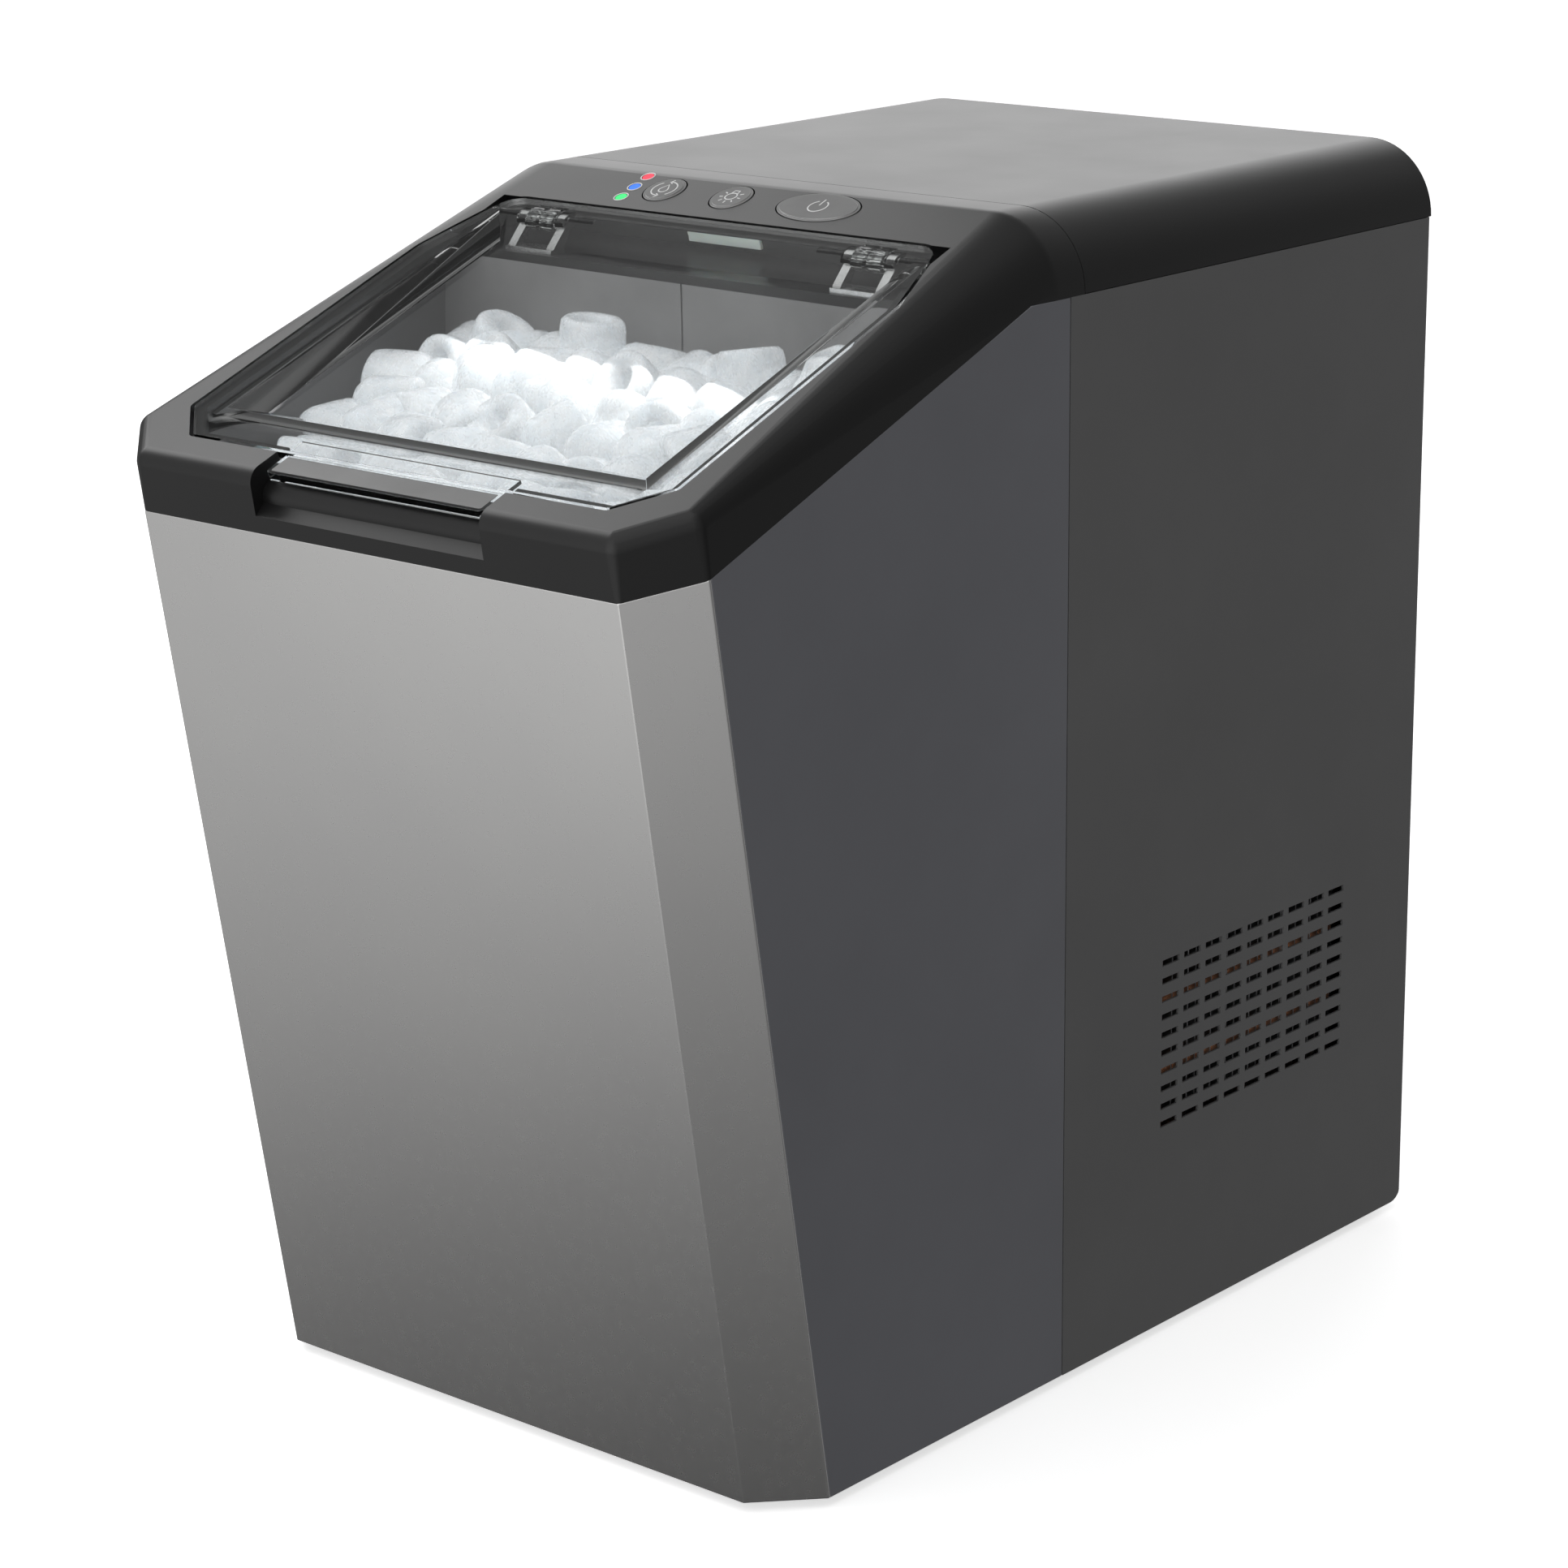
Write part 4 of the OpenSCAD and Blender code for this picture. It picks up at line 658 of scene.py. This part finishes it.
def area_light(name, place, target, size, power, colour=(1, 1, 1)):
    data = bpy.data.lights.new(name, "AREA")
    data.shape, data.size, data.size_y = "RECTANGLE", size[0], size[1]
    data.energy, data.color = power, colour
    obj = bpy.data.objects.new(name, data)
    obj.location = place
    obj.rotation_euler = (Vector(target) - Vector(place)).to_track_quat("-Z", "Y").to_euler()
    obj.visible_camera = obj.visible_transmission = False
    bpy.context.scene.collection.objects.link(obj)
    return obj


def only_lights(lamp, node):
    """Keeps a lamp's light to one CAD node, so that it leaves no veil in the clear lid."""
    lamp.light_linking.receiver_collection = bpy.data.collections.new(f"lit_by_{lamp.name}")
    lamp.light_linking.receiver_collection.objects.link(NODES[node])


def ramp(tree, value, stops, low=-1, high=1):
    """Grey levels at places between low and high, blended in between."""
    spread = tree.nodes.new("ShaderNodeMapRange")
    spread.inputs["From Min"].default_value, spread.inputs["From Max"].default_value = low, high
    tree.links.new(value, spread.inputs[0])
    node = tree.nodes.new("ShaderNodeValToRGB")
    node.color_ramp.interpolation = "EASE"
    elements = node.color_ramp.elements
    for i, (place, level) in enumerate(stops):
        stop = elements[i] if i < 2 else elements.new(1)
        stop.position, stop.color = (place - low) / (high - low), (level, level, level, 1)
    tree.links.new(spread.outputs[0], node.inputs[0])
    return node.outputs[0]


def world():
    """White to the eye; as light, a dome that is bright to the left and dark low down and to the right."""
    w = bpy.data.worlds.new("studio")
    bpy.context.scene.world = w
    w.use_nodes = True
    tree = w.node_tree
    tree.nodes.clear()
    new, link = tree.nodes.new, tree.links.new
    axes = new("ShaderNodeSeparateXYZ")
    link(new("ShaderNodeTexCoord").outputs["Generated"], axes.inputs[0])
    across, along, up = axes.outputs
    by_height = ramp(tree, up, [(-0.6, 0.02), (-0.4, 0.85), (0.2, 0.8), (0.9, 0.6)])
    by_side = ramp(tree, across, [(-0.76, 0.42), (-0.62, 0.98), (-0.4, 1.25),
                                  (0.15, 1.5), (0.5, 0.72), (0.9, 0.42)])
    by_depth = ramp(tree, along, [(-0.2, 1), (0.4, 0.3)])
    level = by_height
    for factor in (by_side, by_depth):
        times = new("ShaderNodeMix")
        times.data_type, times.blend_type = "RGBA", "MULTIPLY"
        times.inputs["Factor"].default_value = 1
        link(level, times.inputs["A"])
        link(factor, times.inputs["B"])
        level = times.outputs["Result"]
    lit, seen = new("ShaderNodeBackground"), new("ShaderNodeBackground")
    lit.inputs["Strength"].default_value = 1.15
    seen.inputs["Strength"].default_value = 1.0
    seen.inputs["Color"].default_value = (1, 1, 1, 1)
    link(level, lit.inputs["Color"])
    mix, path = new("ShaderNodeMixShader"), new("ShaderNodeLightPath")
    link(path.outputs["Is Camera Ray"], mix.inputs[0])
    link(lit.outputs[0], mix.inputs[1])
    link(seen.outputs[0], mix.inputs[2])
    link(mix.outputs[0], new("ShaderNodeOutputWorld").inputs[0])


def floor():
    half = 6
    bm = bmesh.new()
    add_prism(bm, [(-half, -half), (half, -half), (half, half), (-half, half)], -0.02, 0, Matrix.Identity(4))
    mesh = bpy.data.meshes.new("floor")
    bm.to_mesh(mesh)
    bm.free()
    mesh.materials.append(floor_material())
    obj = bpy.data.objects.new("floor", mesh)
    bpy.context.scene.collection.objects.link(obj)
    obj.visible_glossy = obj.visible_diffuse = False


def camera():
    """The photograph's camera, as fitted to the body's edges."""
    azimuth, elevation, roll = (math.radians(a) for a in (40.61, 16.05, -0.609))
    distance, focal, frame_w = 1.2884, 5292.6, 1932      # m, and pixels of the 1932 pixel frame
    target = Vector((0.0184, -0.02847, 0.1776))
    back = Vector((math.sin(azimuth) * math.cos(elevation), -math.cos(azimuth) * math.cos(elevation),
                   math.sin(elevation)))
    right = Vector((math.cos(azimuth), math.sin(azimuth), 0))
    up = back.cross(right)
    right, up = (right * math.cos(roll) + up * math.sin(roll), up * math.cos(roll) - right * math.sin(roll))
    data = bpy.data.cameras.new("camera")
    data.sensor_width = 36
    data.lens = data.sensor_width * focal / frame_w
    data.clip_start, data.clip_end = 0.01, 50
    obj = bpy.data.objects.new("camera", data)
    obj.matrix_world = Matrix.Translation(target + back * distance) @ Matrix(
        ((right.x, up.x, back.x), (right.y, up.y, back.y), (right.z, up.z, back.z))).to_4x4()
    bpy.context.scene.collection.objects.link(obj)
    bpy.context.scene.camera = obj


def studio():
    world()
    floor()
    camera()
    area_light("left_high", (-1.3, -0.03, 1.32), (0, -0.05, 0.3), (0.9, 0.9), 7)
    area_light("rear_left", (-1.0, 1.4, 0.75), (0, 0.1, 0.33), (1.6, 0.9), 6.6)
    sheen = area_light("slope_sheen", (-0.52, 0.24, 0.8), (0, -0.06, 0.3), (0.4, 0.4), 0.6)
    only_lights(sheen, "front_bezel")
    glow = area_light("chamber_glow", (0, -0.085, 0.316), (0, -0.125, 0.28), (0.12, 0.02), 0.03)
    glow.visible_glossy = False
    bpy.context.scene.view_settings.view_transform = "Standard"


def main():
    mats = materials()
    dress_all(mats)
    white = icon_material()
    power_icon(white)
    light_icon(white)
    clean_icon(white)
    lens_rims(white)
    hinge_bosses(mats["clear_lid"])
    tab_inlay(moulded("tab_grey", (0.2, 0.2, 0.2), 0.3))
    ice = ice_material()
    ice_heap(ice)
    standing_ice(ice)
    studio()


main()
